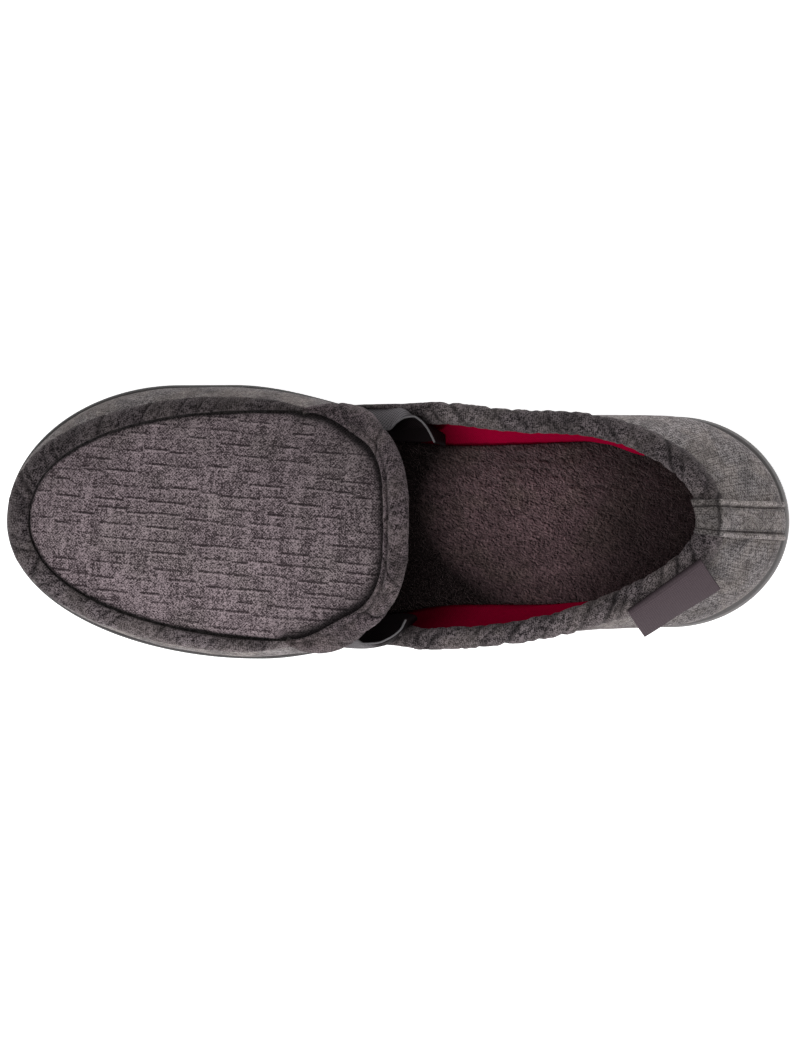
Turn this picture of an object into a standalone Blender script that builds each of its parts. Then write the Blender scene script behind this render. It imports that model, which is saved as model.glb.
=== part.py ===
"""A moccasin slipper for the left foot: a soft hollow upper on a moulded sole.

+X points to the toe, +Y to the lateral (outer) side and +Z up. The origin is on the floor under the
middle of the sole. Sizes are in millimetres, stations run from the back of the heel to the toe, and
to_frame turns both into the frame's metres.
"""

from collections import namedtuple

import bmesh
import bpy
import numpy as np

# Driving sizes
MM = 0.001
SOLE_LENGTH = 282.0
WALL = 2.6
GAP = 0.4
CROWN = 2.2
SHARP_ANGLE = 40.0

# Fine steps and samples
MERGE = 1e-6
TURN_STEP = 1e-4
PLAN_STEP = 1e-3
WALL_REACH = 1.2
WALL_SAMPLES = 90
THROAT_SAMPLES = 400

# Numbers of facets
SOLE_COLUMNS = 64
REAR_COLUMNS = 13
NOTCH_COLUMNS = 5
CORNER_COLUMNS = 3
FRONT_COLUMNS = 16
WALL_ROWS = 9
PLUG_ROWS = 8

# Plan lines: half widths on each side of the last's axis, a superellipse round the heel and the toe
Flank = namedtuple("Flank", "heel heel_arc heel_power waist waist_at ball ball_from ball_to toe_power")
PlanLine = namedtuple("PlanLine", "heel_end toe_end medial lateral")
SOLE_EDGE = PlanLine(
    heel_end=0.0,
    toe_end=SOLE_LENGTH,
    medial=Flank(
        heel=37.2, heel_arc=40.0, heel_power=2.0, waist=34.0, waist_at=118.0,
        ball=49.2, ball_from=200.0, ball_to=220.0, toe_power=2.0,
    ),
    lateral=Flank(
        heel=37.4, heel_arc=42.0, heel_power=2.0, waist=36.5, waist_at=115.0,
        ball=49.2, ball_from=190.0, ball_to=192.0, toe_power=2.0,
    ),
)
TOP_LINE = PlanLine(
    heel_end=22.5,
    toe_end=269.0,
    medial=Flank(
        heel=35.5, heel_arc=62.0, heel_power=2.0, waist=39.0, waist_at=125.0,
        ball=38.9, ball_from=167.0, ball_to=183.0, toe_power=2.3,
    ),
    lateral=Flank(
        heel=42.0, heel_arc=104.0, heel_power=1.9, waist=43.5, waist_at=146.0,
        ball=42.0, ball_from=164.0, ball_to=165.0, toe_power=2.1,
    ),
)

# Sole: lift of its underside off the floor and its thickness
SoleStation = namedtuple("SoleStation", "at lift thickness")
SOLE_STATIONS = (
    SoleStation(at=0.0, lift=1.5, thickness=17.5),
    SoleStation(at=14.0, lift=0.0, thickness=19.0),
    SoleStation(at=80.0, lift=0.0, thickness=18.5),
    SoleStation(at=112.0, lift=2.5, thickness=14.7),
    SoleStation(at=150.0, lift=0.0, thickness=14.5),
    SoleStation(at=208.0, lift=0.0, thickness=13.0),
    SoleStation(at=SOLE_LENGTH, lift=9.0, thickness=11.0),
)
SideStep = namedtuple("SideStep", "inset share")
SIDE_STEPS = (
    SideStep(inset=3.0, share=0.0),
    SideStep(inset=0.9, share=0.12),
    SideStep(inset=0.4, share=0.60),
    SideStep(inset=1.2, share=0.66),
    SideStep(inset=0.0, share=0.72),
    SideStep(inset=0.0, share=0.93),
    SideStep(inset=0.9, share=1.0),
)
SPINE_HEEL = 34.0
SPINE_TOE = 225.0
SOLE_RINGS = (0.0, 0.5)
TREAD_GROOVES = (26.0, 41.0, 56.0, 71.0, 152.0, 167.0, 182.0, 197.0, 212.0, 227.0, 242.0)
GROOVE_WIDTH = 3.2
GROOVE_DEPTH = 2.2
CUTTER_LENGTH = 120.0
CUTTER_HEIGHT = 9.0

# Upper: the top line's height (the collar behind, the apron seam in front) and the wall's two curve handles
Section = namedtuple("Section", "at height inset low_out low_rise high_out high_drop")
SECTIONS = (
    Section(at=22.5, height=65.0, inset=4.5, low_out=10.0, low_rise=12.0, high_out=8.0, high_drop=16.0),
    Section(at=41.5, height=62.0, inset=5.5, low_out=9.5, low_rise=11.0, high_out=6.0, high_drop=15.0),
    Section(at=81.5, height=55.5, inset=6.0, low_out=8.0, low_rise=9.0, high_out=3.0, high_drop=13.0),
    Section(at=116.5, height=52.0, inset=5.5, low_out=6.0, low_rise=8.0, high_out=2.5, high_drop=12.0),
    Section(at=151.5, height=50.5, inset=5.0, low_out=6.0, low_rise=8.0, high_out=4.0, high_drop=8.0),
    Section(at=172.0, height=49.0, inset=4.5, low_out=6.5, low_rise=8.0, high_out=5.5, high_drop=6.0),
    Section(at=202.0, height=46.5, inset=4.0, low_out=6.5, low_rise=8.0, high_out=6.5, high_drop=5.5),
    Section(at=243.0, height=42.5, inset=4.0, low_out=5.5, low_rise=6.5, high_out=7.5, high_drop=5.0),
    Section(at=269.0, height=40.0, inset=4.0, low_out=4.5, low_rise=5.0, high_out=9.5, high_drop=4.5),
)
Ridge = namedtuple("Ridge", "at height")
RIDGE = (
    Ridge(at=121.5, height=80.0),
    Ridge(at=136.5, height=76.0),
    Ridge(at=161.5, height=69.0),
    Ridge(at=191.5, height=61.5),
    Ridge(at=222.5, height=54.0),
    Ridge(at=248.5, height=47.5),
    Ridge(at=269.0, height=40.0),
)
THROAT_AT = 128.5
THROAT_SQUARENESS = 2.7

# Gore notches: the collar drops from slope_at to bottom_at, then the vamp's edge climbs to its corner
Notch = namedtuple("Notch", "slope_at bottom_at corner_at bottom_rise")
MEDIAL_NOTCH = Notch(slope_at=114.0, bottom_at=150.0, corner_at=168.0, bottom_rise=0.32)
LATERAL_NOTCH = Notch(slope_at=118.0, bottom_at=150.0, corner_at=174.0, bottom_rise=0.32)

# Outlines of the sewn strips: depth down from an edge and offset out of the upper's face
Corner = namedtuple("Corner", "depth offset")
UNDER_WALL = -WALL - GAP
APRON_ROLL = (
    Corner(0.04, GAP),
    Corner(0.0, 1.8),
    Corner(0.18, 2.9),
    Corner(0.47, 3.2),
    Corner(0.76, 2.8),
    Corner(0.98, 1.5),
    Corner(1.0, GAP),
    Corner(0.68, GAP),
    Corner(0.36, GAP),
)
RollWidth = namedtuple("RollWidth", "at width")
ROLL_WIDTHS = (
    RollWidth(at=165.0, width=2.6),
    RollWidth(at=176.0, width=4.0),
    RollWidth(at=190.0, width=5.8),
    RollWidth(at=208.0, width=7.2),
    RollWidth(at=235.0, width=7.6),
    RollWidth(at=269.0, width=9.8),
)
COLLAR_BINDING = (
    Corner(7.4, GAP),
    Corner(6.8, 1.7),
    Corner(1.5, 2.1),
    Corner(-1.5, 0.4),
    Corner(-1.5, -3.0),
    Corner(1.5, -4.7),
    Corner(6.3, -4.4),
    Corner(7.0, UNDER_WALL),
    Corner(3.4, UNDER_WALL),
    Corner(-GAP, UNDER_WALL),
    Corner(-GAP, GAP),
    Corner(3.6, GAP),
)
THROAT_BAND = (
    Corner(8.4, GAP),
    Corner(8.0, 1.7),
    Corner(5.0, 2.6),
    Corner(1.5, 2.3),
    Corner(-1.6, 0.6),
    Corner(-1.6, -3.2),
    Corner(1.5, -4.4),
    Corner(5.2, -4.3),
    Corner(5.6, UNDER_WALL),
    Corner(2.6, UNDER_WALL),
    Corner(-GAP, UNDER_WALL),
    Corner(-GAP, GAP),
    Corner(4.5, GAP),
)
BAND_TAPER = 26.0
BAND_POINT = 0.35

# Heel stay: its path over the collar and down the back, as the strip's inner and outer face
STAY_HALF_WIDTH = 6.8
STAY_RAIL = 2.0
STAY_RAIL_RAMP = 0.4
STAY_HOLLOW = 0.55
STAY_THICKNESS = 1.4
STAY_LENGTH = 46.0
STAY_STATIONS = 7
StayStation = namedtuple("StayStation", "depth offset outer_depth outer_offset")
STAY_OVER_COLLAR = (
    StayStation(depth=10.5, offset=GAP + 0.1, outer_depth=10.9, outer_offset=1.9),
    StayStation(depth=7.6, offset=2.3, outer_depth=7.9, outer_offset=3.7),
    StayStation(depth=1.5, offset=2.6, outer_depth=1.2, outer_offset=4.1),
    StayStation(depth=-2.0, offset=0.6, outer_depth=-3.4, outer_offset=1.4),
    StayStation(depth=-2.0, offset=-3.3, outer_depth=-3.4, outer_offset=-3.9),
    StayStation(depth=1.4, offset=-5.2, outer_depth=1.0, outer_offset=-6.6),
    StayStation(depth=5.5, offset=-5.1, outer_depth=5.5, outer_offset=-6.5),
)

# Elastic gores: each fold starts inside the wall, swells over the notch's rim and ends at its top edge
GORE_THICKNESS = 1.2
GORE_ROWS = 9
GORE_CLEAR_RISE = 0.08
GoreFold = namedtuple("GoreFold", "at foot_rise foot_inset swell_rise swell_inset top_rise top_inset")
MEDIAL_GORE = (
    GoreFold(121.0, 0.62, 11.0, 0.80, 11.0, 0.98, 10.8),
    GoreFold(123.5, 0.50, 6.5, 0.75, 6.3, 1.03, 6.0),
    GoreFold(126.0, 0.40, 5.4, 0.98, 3.6, 1.06, 2.6),
    GoreFold(128.5, 0.34, 5.4, 0.95, 2.0, 1.06, 1.0),
    GoreFold(131.5, 0.30, 5.4, 0.92, -0.2, 1.06, 1.4),
    GoreFold(134.5, 0.27, 5.4, 0.85, -1.2, 1.05, 3.2),
    GoreFold(138.0, 0.25, 5.4, 0.78, -1.8, 1.03, 6.2),
    GoreFold(143.0, 0.23, 5.4, 0.70, -1.8, 0.98, 5.0),
    GoreFold(150.0, 0.22, 5.4, 0.62, -1.6, 0.92, 2.6),
    GoreFold(156.0, 0.22, 3.6, 0.50, 3.6, 0.80, 3.8),
    GoreFold(162.0, 0.22, 3.6, 0.50, 3.6, 0.75, 3.8),
)
LATERAL_GORE = (
    GoreFold(131.0, 0.62, 8.0, 0.80, 8.0, 1.00, 7.5),
    GoreFold(133.0, 0.45, 5.6, 0.92, 4.0, 1.05, 3.2),
    GoreFold(137.0, 0.32, 5.4, 0.85, -1.0, 1.06, 0.2),
    GoreFold(141.0, 0.27, 5.4, 0.80, -2.2, 1.05, -0.8),
    GoreFold(146.0, 0.24, 5.4, 0.70, -2.6, 1.03, 0.9),
    GoreFold(149.0, 0.22, 5.4, 0.65, -2.6, 0.97, 3.4),
    GoreFold(155.0, 0.22, 5.4, 0.70, 0.6, 0.90, 2.4),
    GoreFold(160.0, 0.22, 3.8, 0.50, 3.8, 0.82, 3.8),
    GoreFold(168.0, 0.22, 3.6, 0.50, 3.6, 0.78, 3.8),
)

# Label tab: a folded ribbon held under the collar binding on the lateral side
LABEL_FROM = 31.0
LABEL_TO = 56.0
LABEL_DEPTH = 8.6
LABEL_WIDTH = 12.5
LABEL_THICKNESS = 0.9
LABEL_COLUMNS = 6
LABEL_ROOT_OFFSET = 0.6
LABEL_FREE_OFFSET = 2.6

# Insole: a plush footbed that fills the space inside the upper's foot
INSOLE_THICKNESS = 5.0
INSOLE_FOOT_INSET = 3.4
INSOLE_TOP_INSET = 1.6
INSOLE_CROWN_INSET = 5.5
INSOLE_EDGE_DROP = 0.9

# Finishes: linear base colour and roughness
Finish = namedtuple("Finish", "colour roughness")
RUBBER = Finish((0.130, 0.122, 0.122), 0.60)
PLUSH = Finish((0.052, 0.035, 0.036), 0.95)
FLECKED_CLOTH = Finish((0.135, 0.110, 0.117), 0.90)
DARK_CLOTH = Finish((0.060, 0.050, 0.053), 0.95)
BAND_CLOTH = Finish((0.073, 0.058, 0.063), 0.95)
STAY_CLOTH = Finish((0.125, 0.110, 0.110), 0.95)
WEBBING = Finish((0.110, 0.100, 0.107), 0.70)
RIBBON = Finish((0.085, 0.066, 0.074), 0.80)


def arc(share, power=2.0):
    """Quarter of a superellipse: 1 where share is 0, 0 where it is 1."""
    return (1.0 - np.clip(share, 0.0, 1.0) ** power) ** (1.0 / power)


def ease(start, end, share):
    """Smooth step from start to end."""
    share = np.clip(share, 0.0, 1.0)
    return start + (end - start) * share * share * (3.0 - 2.0 * share)


def column(table, name, at):
    """A table's column at a station: a monotone cubic through its rows."""
    place = np.array([row.at for row in table])
    value = np.array([getattr(row, name) for row in table])
    step = np.diff(place)
    slope = np.diff(value) / step
    product = slope[:-1] * slope[1:]
    total = slope[:-1] + slope[1:]
    inner = np.where(product > 0, 2 * product / np.where(product > 0, total, 1.0), 0.0)
    tangent = np.concatenate([slope[:1], inner, slope[-1:]])
    at = np.clip(at, place[0], place[-1])
    i = np.clip(np.searchsorted(place, at) - 1, 0, len(step) - 1)
    s = (at - place[i]) / step[i]
    rise = s * s * (3 - 2 * s)
    return (
        value[i] * (1 - rise)
        + value[i + 1] * rise
        + step[i] * s * (1 - s) * (tangent[i] * (1 - s) - tangent[i + 1] * s)
    )


def half_width(line, flank, at):
    """Half width of a plan line on one side of the axis."""
    heel_at = line.heel_end + flank.heel_arc
    heel = flank.heel * arc((heel_at - at) / flank.heel_arc, flank.heel_power)
    rear = ease(flank.heel, flank.waist, (at - heel_at) / (flank.waist_at - heel_at))
    front = ease(flank.waist, flank.ball, (at - flank.waist_at) / (flank.ball_from - flank.waist_at))
    toe = flank.ball * arc((at - flank.ball_to) / (line.toe_end - flank.ball_to), flank.toe_power)
    return np.select([at < heel_at, at < flank.waist_at, at < flank.ball_to], [heel, rear, front], toe)


def plan(line, turn):
    """Point of a plan line: turn 0 is the heel's back, 1 the toe's tip, the medial side in between."""
    turn = np.mod(turn, 2.0)
    share = 1.0 - np.abs(turn - 1.0)
    at = line.heel_end + (line.toe_end - line.heel_end) * (1.0 - np.cos(np.pi * share)) / 2.0
    medial = -half_width(line, line.medial, at)
    lateral = half_width(line, line.lateral, at)
    return np.stack([at, np.where(turn < 1.0, medial, lateral)], axis=-1)


def turn_at(line, at, medial):
    """The turn at which one side of a plan line passes a station."""
    share = np.arccos(1.0 - 2.0 * (at - line.heel_end) / (line.toe_end - line.heel_end)) / np.pi
    return share if medial else 2.0 - share


def outward(line, turn):
    """Unit vector in plan that points out of a plan line."""
    along = plan(line, turn + TURN_STEP) - plan(line, turn - TURN_STEP)
    normal = np.stack([along[..., 1], -along[..., 0]], axis=-1)
    return normal / np.linalg.norm(normal, axis=-1, keepdims=True)


def raised(flat, height):
    """Plan points at a height."""
    return np.concatenate([flat, np.broadcast_to(height, flat.shape[:-1])[..., None]], axis=-1)


def sole_underside(at):
    return column(SOLE_STATIONS, "lift", at)


def sole_top(at):
    return sole_underside(at) + column(SOLE_STATIONS, "thickness", at)


def wall(turn, rise):
    """Outer face of the upper's wall: rise 0 is its foot on the sole, 1 the top line."""
    top_plan = plan(TOP_LINE, turn)
    at = top_plan[..., 0]
    out = outward(SOLE_EDGE, turn)

    def handle(start, distance, climb):
        return start + raised(out * column(SECTIONS, distance, at)[..., None], climb)

    foot_plan = plan(SOLE_EDGE, turn) - out * column(SECTIONS, "inset", at)[..., None]
    foot = raised(foot_plan, sole_top(foot_plan[..., 0]) + GAP)
    top = raised(top_plan, column(SECTIONS, "height", at))
    low = handle(foot, "low_out", column(SECTIONS, "low_rise", at))
    high = handle(top, "high_out", -column(SECTIONS, "high_drop", at))
    v = np.asarray(rise, dtype=float)[..., None]
    w = 1.0 - v
    return w**3 * foot + 3 * w * w * v * low + 3 * w * v * v * high + v**3 * top


def wall_normal(turn, rise):
    along = wall(turn + TURN_STEP, rise) - wall(turn - TURN_STEP, rise)
    up = wall(turn, rise + TURN_STEP) - wall(turn, rise - TURN_STEP)
    normal = np.cross(along, up)
    return normal / np.linalg.norm(normal, axis=-1, keepdims=True)


def on_wall(turn, edge_rise, depth, offset):
    """Point at a depth down the wall's face from an edge, and at an offset out of that face."""
    samples = np.linspace(0.0, WALL_REACH, WALL_SAMPLES)
    line = wall(np.full_like(samples, turn), samples)
    length = np.concatenate([[0.0], np.cumsum(np.linalg.norm(np.diff(line, axis=0), axis=1))])
    edge = np.interp(edge_rise, samples, length)
    rise = np.interp(edge - np.asarray(depth), length, samples)
    turns = np.full_like(rise, turn)
    return wall(turns, rise) + wall_normal(turns, rise) * np.asarray(offset)[..., None]


def plug_height(flat):
    """Height of the vamp's top over a plan point: the apron seam's height plus a crown."""
    at = flat[..., 0]
    across = flat[..., 1]
    medial = half_width(TOP_LINE, TOP_LINE.medial, at)
    lateral = half_width(TOP_LINE, TOP_LINE.lateral, at)
    share = np.abs(across) / np.maximum(np.where(across < 0, medial, lateral), 1.0)
    edge = column(SECTIONS, "height", at)
    return edge + (column(RIDGE, "height", at) - edge) * (1.0 - share**CROWN)


def on_plug(flat, offset):
    """Point over a plan point of the vamp's top, at an offset out of its face."""
    forward = plug_height(flat + (PLAN_STEP, 0.0)) - plug_height(flat - (PLAN_STEP, 0.0))
    sideways = plug_height(flat + (0.0, PLAN_STEP)) - plug_height(flat - (0.0, PLAN_STEP))
    normal = np.stack([-forward, -sideways, np.full_like(forward, 2 * PLAN_STEP)], axis=-1)
    normal /= np.linalg.norm(normal, axis=-1, keepdims=True)
    return raised(flat, plug_height(flat)) + normal * np.asarray(offset)[..., None]


def throat(count):
    """Plan points of the throat's edge, evenly spaced from the medial corner to the lateral one."""
    angle = np.linspace(-np.pi / 2, np.pi / 2, THROAT_SAMPLES)
    power = 2.0 / THROAT_SQUARENESS
    medial = plan(TOP_LINE, turn_at(TOP_LINE, MEDIAL_NOTCH.corner_at, True))
    lateral = plan(TOP_LINE, turn_at(TOP_LINE, LATERAL_NOTCH.corner_at, False))
    corner = np.where((angle < 0)[:, None], medial, lateral)
    across = np.abs(np.sin(angle)) ** power * corner[:, 1]
    at = THROAT_AT + (corner[:, 0] - THROAT_AT) * (1.0 - np.abs(np.cos(angle)) ** power)
    line = np.stack([at, across], axis=-1)
    length = np.concatenate([[0.0], np.cumsum(np.linalg.norm(np.diff(line, axis=0), axis=1))])
    even = np.linspace(0.0, length[-1], count)
    return np.stack([np.interp(even, length, line[:, i]) for i in (0, 1)], axis=-1)


def notch_rise(notch, at):
    """Rise of the wall's upper edge near a gore notch."""
    slope = ease(1.0, notch.bottom_rise, (at - notch.slope_at) / (notch.bottom_at - notch.slope_at))
    climb = ease(notch.bottom_rise, 1.0, (at - notch.bottom_at) / (notch.corner_at - notch.bottom_at))
    return np.where(at < notch.bottom_at, slope, climb)


def flank_columns(notch, medial):
    """Turns of one side's columns, heel to toe, with more of them round the gore notch."""

    def spread(start, end, count):
        return np.linspace(start, end, count, endpoint=False)

    heel = 0.0 if medial else 2.0
    slope = turn_at(TOP_LINE, notch.slope_at, medial)
    bottom = turn_at(TOP_LINE, notch.bottom_at, medial)
    corner = turn_at(TOP_LINE, notch.corner_at, medial)
    return np.concatenate([
        spread(heel, slope, REAR_COLUMNS),
        spread(slope, bottom, NOTCH_COLUMNS),
        spread(bottom, corner, CORNER_COLUMNS),
        spread(corner, 1.0, FRONT_COLUMNS),
        [1.0],
    ])


MEDIAL_TURNS = flank_columns(MEDIAL_NOTCH, True)
LATERAL_TURNS = flank_columns(LATERAL_NOTCH, False)
TURNS = np.concatenate([MEDIAL_TURNS, LATERAL_TURNS[-2:0:-1]])
CORNER_INDEX = REAR_COLUMNS + NOTCH_COLUMNS + CORNER_COLUMNS
FIRST_CORNER = CORNER_INDEX
LAST_CORNER = len(TURNS) - CORNER_INDEX


def edge_rises(turns):
    """Rise of the wall's upper edge on each column: the collar, the notches or the apron seam."""
    at = plan(TOP_LINE, turns)[..., 0]
    return np.where(turns < 1.0, notch_rise(MEDIAL_NOTCH, at), notch_rise(LATERAL_NOTCH, at))


EDGE_RISES = edge_rises(TURNS)
SOLE_TURNS = np.linspace(0.0, 2.0, SOLE_COLUMNS, endpoint=False)


def to_frame(points):
    """Stations and millimetres to the frame's metres."""
    return (np.asarray(points) - (SOLE_LENGTH / 2.0, 0.0, 0.0)) * MM


def make_material(name, finish):
    material = bpy.data.materials.new(name)
    material.use_nodes = True
    shader = material.node_tree.nodes["Principled BSDF"]
    shader.inputs["Base Color"].default_value = (*finish.colour, 1.0)
    shader.inputs["Roughness"].default_value = finish.roughness
    shader.inputs["Metallic"].default_value = 0.0
    return material


def add_object(name, bm, finish, whole=True):
    """An object from a bmesh. whole is false for an open skin that a modifier closes."""
    bmesh.ops.remove_doubles(bm, verts=bm.verts, dist=MERGE)
    if whole:
        bmesh.ops.recalc_face_normals(bm, faces=bm.faces)
    mesh = bpy.data.meshes.new(name)
    bm.to_mesh(mesh)
    bm.free()
    mesh.materials.append(make_material(name, finish))
    mesh.shade_smooth()
    mesh.set_sharp_from_angle(angle=np.radians(SHARP_ANGLE))
    piece = bpy.data.objects.new(name, mesh)
    bpy.context.scene.collection.objects.link(piece)
    return piece


def sweep(sections, caps=True):
    """A closed mesh through a row of closed sections."""
    bm = bmesh.new()
    rows = [[bm.verts.new(point) for point in section] for section in to_frame(sections)]
    count = len(rows[0])
    for here, there in zip(rows, rows[1:]):
        for j in range(count):
            k = (j + 1) % count
            bm.faces.new((here[j], here[k], there[k], there[j]))
    if caps:
        bm.faces.new(rows[0])
        bm.faces.new(rows[-1])
    return bm


def inset_line(inset):
    """The sole's edge line moved in by an inset."""
    return plan(SOLE_EDGE, SOLE_TURNS) - outward(SOLE_EDGE, SOLE_TURNS) * inset


def toward_spine(flat, share):
    """An inset line moved towards the sole's spine: share 1 leaves it, 0 puts it on the spine."""
    at = np.clip(plan(SOLE_EDGE, SOLE_TURNS)[:, 0], SPINE_HEEL, SPINE_TOE)
    spine = np.stack([at, np.zeros_like(at)], axis=-1)
    return spine + (flat - spine) * share


def make_outsole():
    bottom = inset_line(SIDE_STEPS[0].inset)
    top = inset_line(SIDE_STEPS[-1].inset)
    rings = []
    for share in SOLE_RINGS:
        flat = toward_spine(bottom, share)
        rings.append(raised(flat, sole_underside(flat[:, 0])))
    for step in SIDE_STEPS:
        flat = inset_line(step.inset)
        low = sole_underside(flat[:, 0])
        rings.append(raised(flat, low + (sole_top(flat[:, 0]) - low) * step.share))
    for share in reversed(SOLE_RINGS):
        flat = toward_spine(top, share)
        rings.append(raised(flat, sole_top(flat[:, 0])))
    sole = add_object("outsole", sweep(rings, caps=False), RUBBER)

    cutter_mesh = bmesh.new()
    for at in TREAD_GROOVES:
        size = np.array([GROOVE_WIDTH, CUTTER_LENGTH, CUTTER_HEIGHT])
        middle = np.array([at, 0.0, float(sole_underside(at)) + GROOVE_DEPTH - CUTTER_HEIGHT / 2.0])
        made = bmesh.ops.create_cube(cutter_mesh, size=1.0)
        bmesh.ops.scale(cutter_mesh, vec=size * MM, verts=made["verts"])
        bmesh.ops.translate(cutter_mesh, vec=to_frame(middle), verts=made["verts"])
    cutter = add_object("tread_cutter", cutter_mesh, RUBBER)
    cutter.hide_render = True
    cutter.display_type = "WIRE"
    cut = sole.modifiers.new("tread", "BOOLEAN")
    cut.operation = "DIFFERENCE"
    cut.object = cutter


def make_insole():
    wall_foot = column(SECTIONS, "inset", plan(TOP_LINE, SOLE_TURNS)[:, 0])[:, None]
    foot = inset_line(wall_foot + INSOLE_FOOT_INSET)
    edge = inset_line(wall_foot + INSOLE_TOP_INSET)
    crown = inset_line(wall_foot + INSOLE_CROWN_INSET)

    def ring(flat, height):
        return raised(flat, sole_top(flat[:, 0]) + GAP + height)

    rings = [
        ring(toward_spine(foot, 0.0), 0.0),
        ring(foot, 0.0),
        ring(edge, INSOLE_THICKNESS - INSOLE_EDGE_DROP),
        ring(crown, INSOLE_THICKNESS),
        ring(toward_spine(crown, 0.0), INSOLE_THICKNESS),
    ]
    add_object("insole", sweep(rings, caps=False), PLUSH)


def make_upper():
    """One hollow shell: the wall all round, and the vamp's top sewn into its front."""
    bm = bmesh.new()
    count = len(TURNS)
    shares = np.linspace(0.0, 1.0, WALL_ROWS + 1)
    columns = []
    for turn, edge in zip(TURNS, EDGE_RISES):
        points = wall(np.full_like(shares, turn), shares * edge)
        columns.append([bm.verts.new(point) for point in to_frame(points)])
    for i in range(count):
        here = columns[i]
        there = columns[(i + 1) % count]
        for j in range(WALL_ROWS):
            bm.faces.new((here[j], there[j], there[j + 1], here[j + 1]))

    front = range(FIRST_CORNER, LAST_CORNER + 1)
    edge_plan = throat(len(front))
    lines = []
    for i, end in zip(front, edge_plan):
        seam = columns[i][-1]
        start = plan(TOP_LINE, TURNS[i])
        if i in (FIRST_CORNER, LAST_CORNER):
            lines.append([seam])
            continue
        way = np.linspace(0.0, 1.0, PLUG_ROWS + 1)[1:, None]
        flat = start + (end - start) * way
        points = to_frame(raised(flat, plug_height(flat)))
        lines.append([seam] + [bm.verts.new(point) for point in points])
    for here, there in zip(lines, lines[1:]):
        for k in range(PLUG_ROWS):
            corners = [here[min(k, len(here) - 1)], there[min(k, len(there) - 1)]]
            corners += [there[min(k + 1, len(there) - 1)], here[min(k + 1, len(here) - 1)]]
            bm.faces.new(list(dict.fromkeys(corners)))
    upper = add_object("upper", bm, FLECKED_CLOTH, whole=False)
    shell = upper.modifiers.new("wall", "SOLIDIFY")
    shell.thickness = WALL * MM
    shell.offset = -1.0
    shell.use_rim = True
    shell.use_quality_normals = True


def make_apron_roll():
    sections = []
    for i in range(FIRST_CORNER, LAST_CORNER + 1):
        width = column(ROLL_WIDTHS, "width", plan(TOP_LINE, TURNS[i])[0])
        depth = [corner.depth * width for corner in APRON_ROLL]
        offset = [corner.offset for corner in APRON_ROLL]
        sections.append(on_wall(TURNS[i], EDGE_RISES[i], depth, offset))
    add_object("apron_roll", sweep(sections), DARK_CLOTH)


def make_collar_binding():
    last = REAR_COLUMNS + NOTCH_COLUMNS
    depth = [corner.depth for corner in COLLAR_BINDING]
    offset = [corner.offset for corner in COLLAR_BINDING]
    indices = [*range(len(TURNS) - last, len(TURNS)), *range(last + 1)]
    sections = [on_wall(TURNS[i], EDGE_RISES[i], depth, offset) for i in indices]
    add_object("collar_binding", sweep(sections), DARK_CLOTH)


def make_throat_band():
    line = throat(LAST_CORNER - FIRST_CORNER + 1)
    along = np.gradient(line, axis=0)
    inward = np.stack([along[:, 1], -along[:, 0]], axis=-1)
    inward /= np.linalg.norm(inward, axis=1, keepdims=True)
    step = np.linalg.norm(np.diff(line, axis=0), axis=1)
    run = np.concatenate([[0.0], np.cumsum(step)])
    share = ease(BAND_POINT, 1.0, np.minimum(run, run[-1] - run) / BAND_TAPER)
    depth = np.array([corner.depth for corner in THROAT_BAND])[:, None]
    offset = np.array([corner.offset for corner in THROAT_BAND])
    sections = []
    for i in range(1, len(line) - 2):
        reach = np.where(depth > 0, depth * share[i], depth)
        sections.append(on_plug(line[i] + inward[i] * reach, offset))
    add_object("throat_band", sweep(sections), BAND_CLOTH)


def stay_path():
    """Stations of the heel stay from its foot up the back and over the collar."""
    depths = np.linspace(STAY_LENGTH, STAY_OVER_COLLAR[0].depth, STAY_STATIONS, endpoint=False)
    back = [StayStation(depth, GAP, depth, GAP + STAY_THICKNESS) for depth in depths]
    return [*back, *STAY_OVER_COLLAR]


def make_heel_stay():
    rail = STAY_HALF_WIDTH - STAY_RAIL
    hollow = rail - STAY_RAIL_RAMP
    across = np.array([-STAY_HALF_WIDTH, -rail, -hollow, 0.0, hollow, rail, STAY_HALF_WIDTH])
    height = np.where(np.abs(across) < rail, STAY_HOLLOW, 1.0)
    sections = []
    for station in stay_path():
        middle = on_wall(0.0, 1.0, [station.depth], [station.offset])[0]
        beside = on_wall(TURN_STEP, 1.0, [station.depth], [station.offset])[0]
        turns = across * TURN_STEP / np.linalg.norm(beside - middle)
        inner = [on_wall(turn, 1.0, [station.depth], [station.offset])[0] for turn in turns]
        outer = [on_wall(turn, 1.0, [station.outer_depth], [station.outer_offset])[0] for turn in turns]
        face = [low + (high - low) * share for low, high, share in zip(inner, outer, height)]
        sections.append(face + inner[::-1])
    add_object("heel_stay", sweep(sections), STAY_CLOTH)


def make_gore(name, folds, notch, medial):
    sections = []
    way = np.linspace(0.0, 1.0, GORE_ROWS)
    for fold in folds:
        clear = notch_rise(notch, fold.at) + GORE_CLEAR_RISE
        rise = fold.foot_rise + (fold.top_rise - fold.foot_rise) * way
        swell = ease(fold.foot_inset, fold.swell_inset, (rise - clear) / max(fold.swell_rise - clear, MERGE))
        top = ease(0.0, 1.0, (rise - fold.swell_rise) / (fold.top_rise - fold.swell_rise))
        inset = swell + (fold.top_inset - swell) * top
        turn = np.full_like(way, turn_at(TOP_LINE, fold.at, medial))
        normal = wall_normal(turn, rise)
        outer = wall(turn, rise) - normal * inset[:, None]
        inner = outer - normal * GORE_THICKNESS
        sections.append(np.concatenate([outer, inner[::-1]]))
    add_object(name, sweep(sections), WEBBING)


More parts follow.
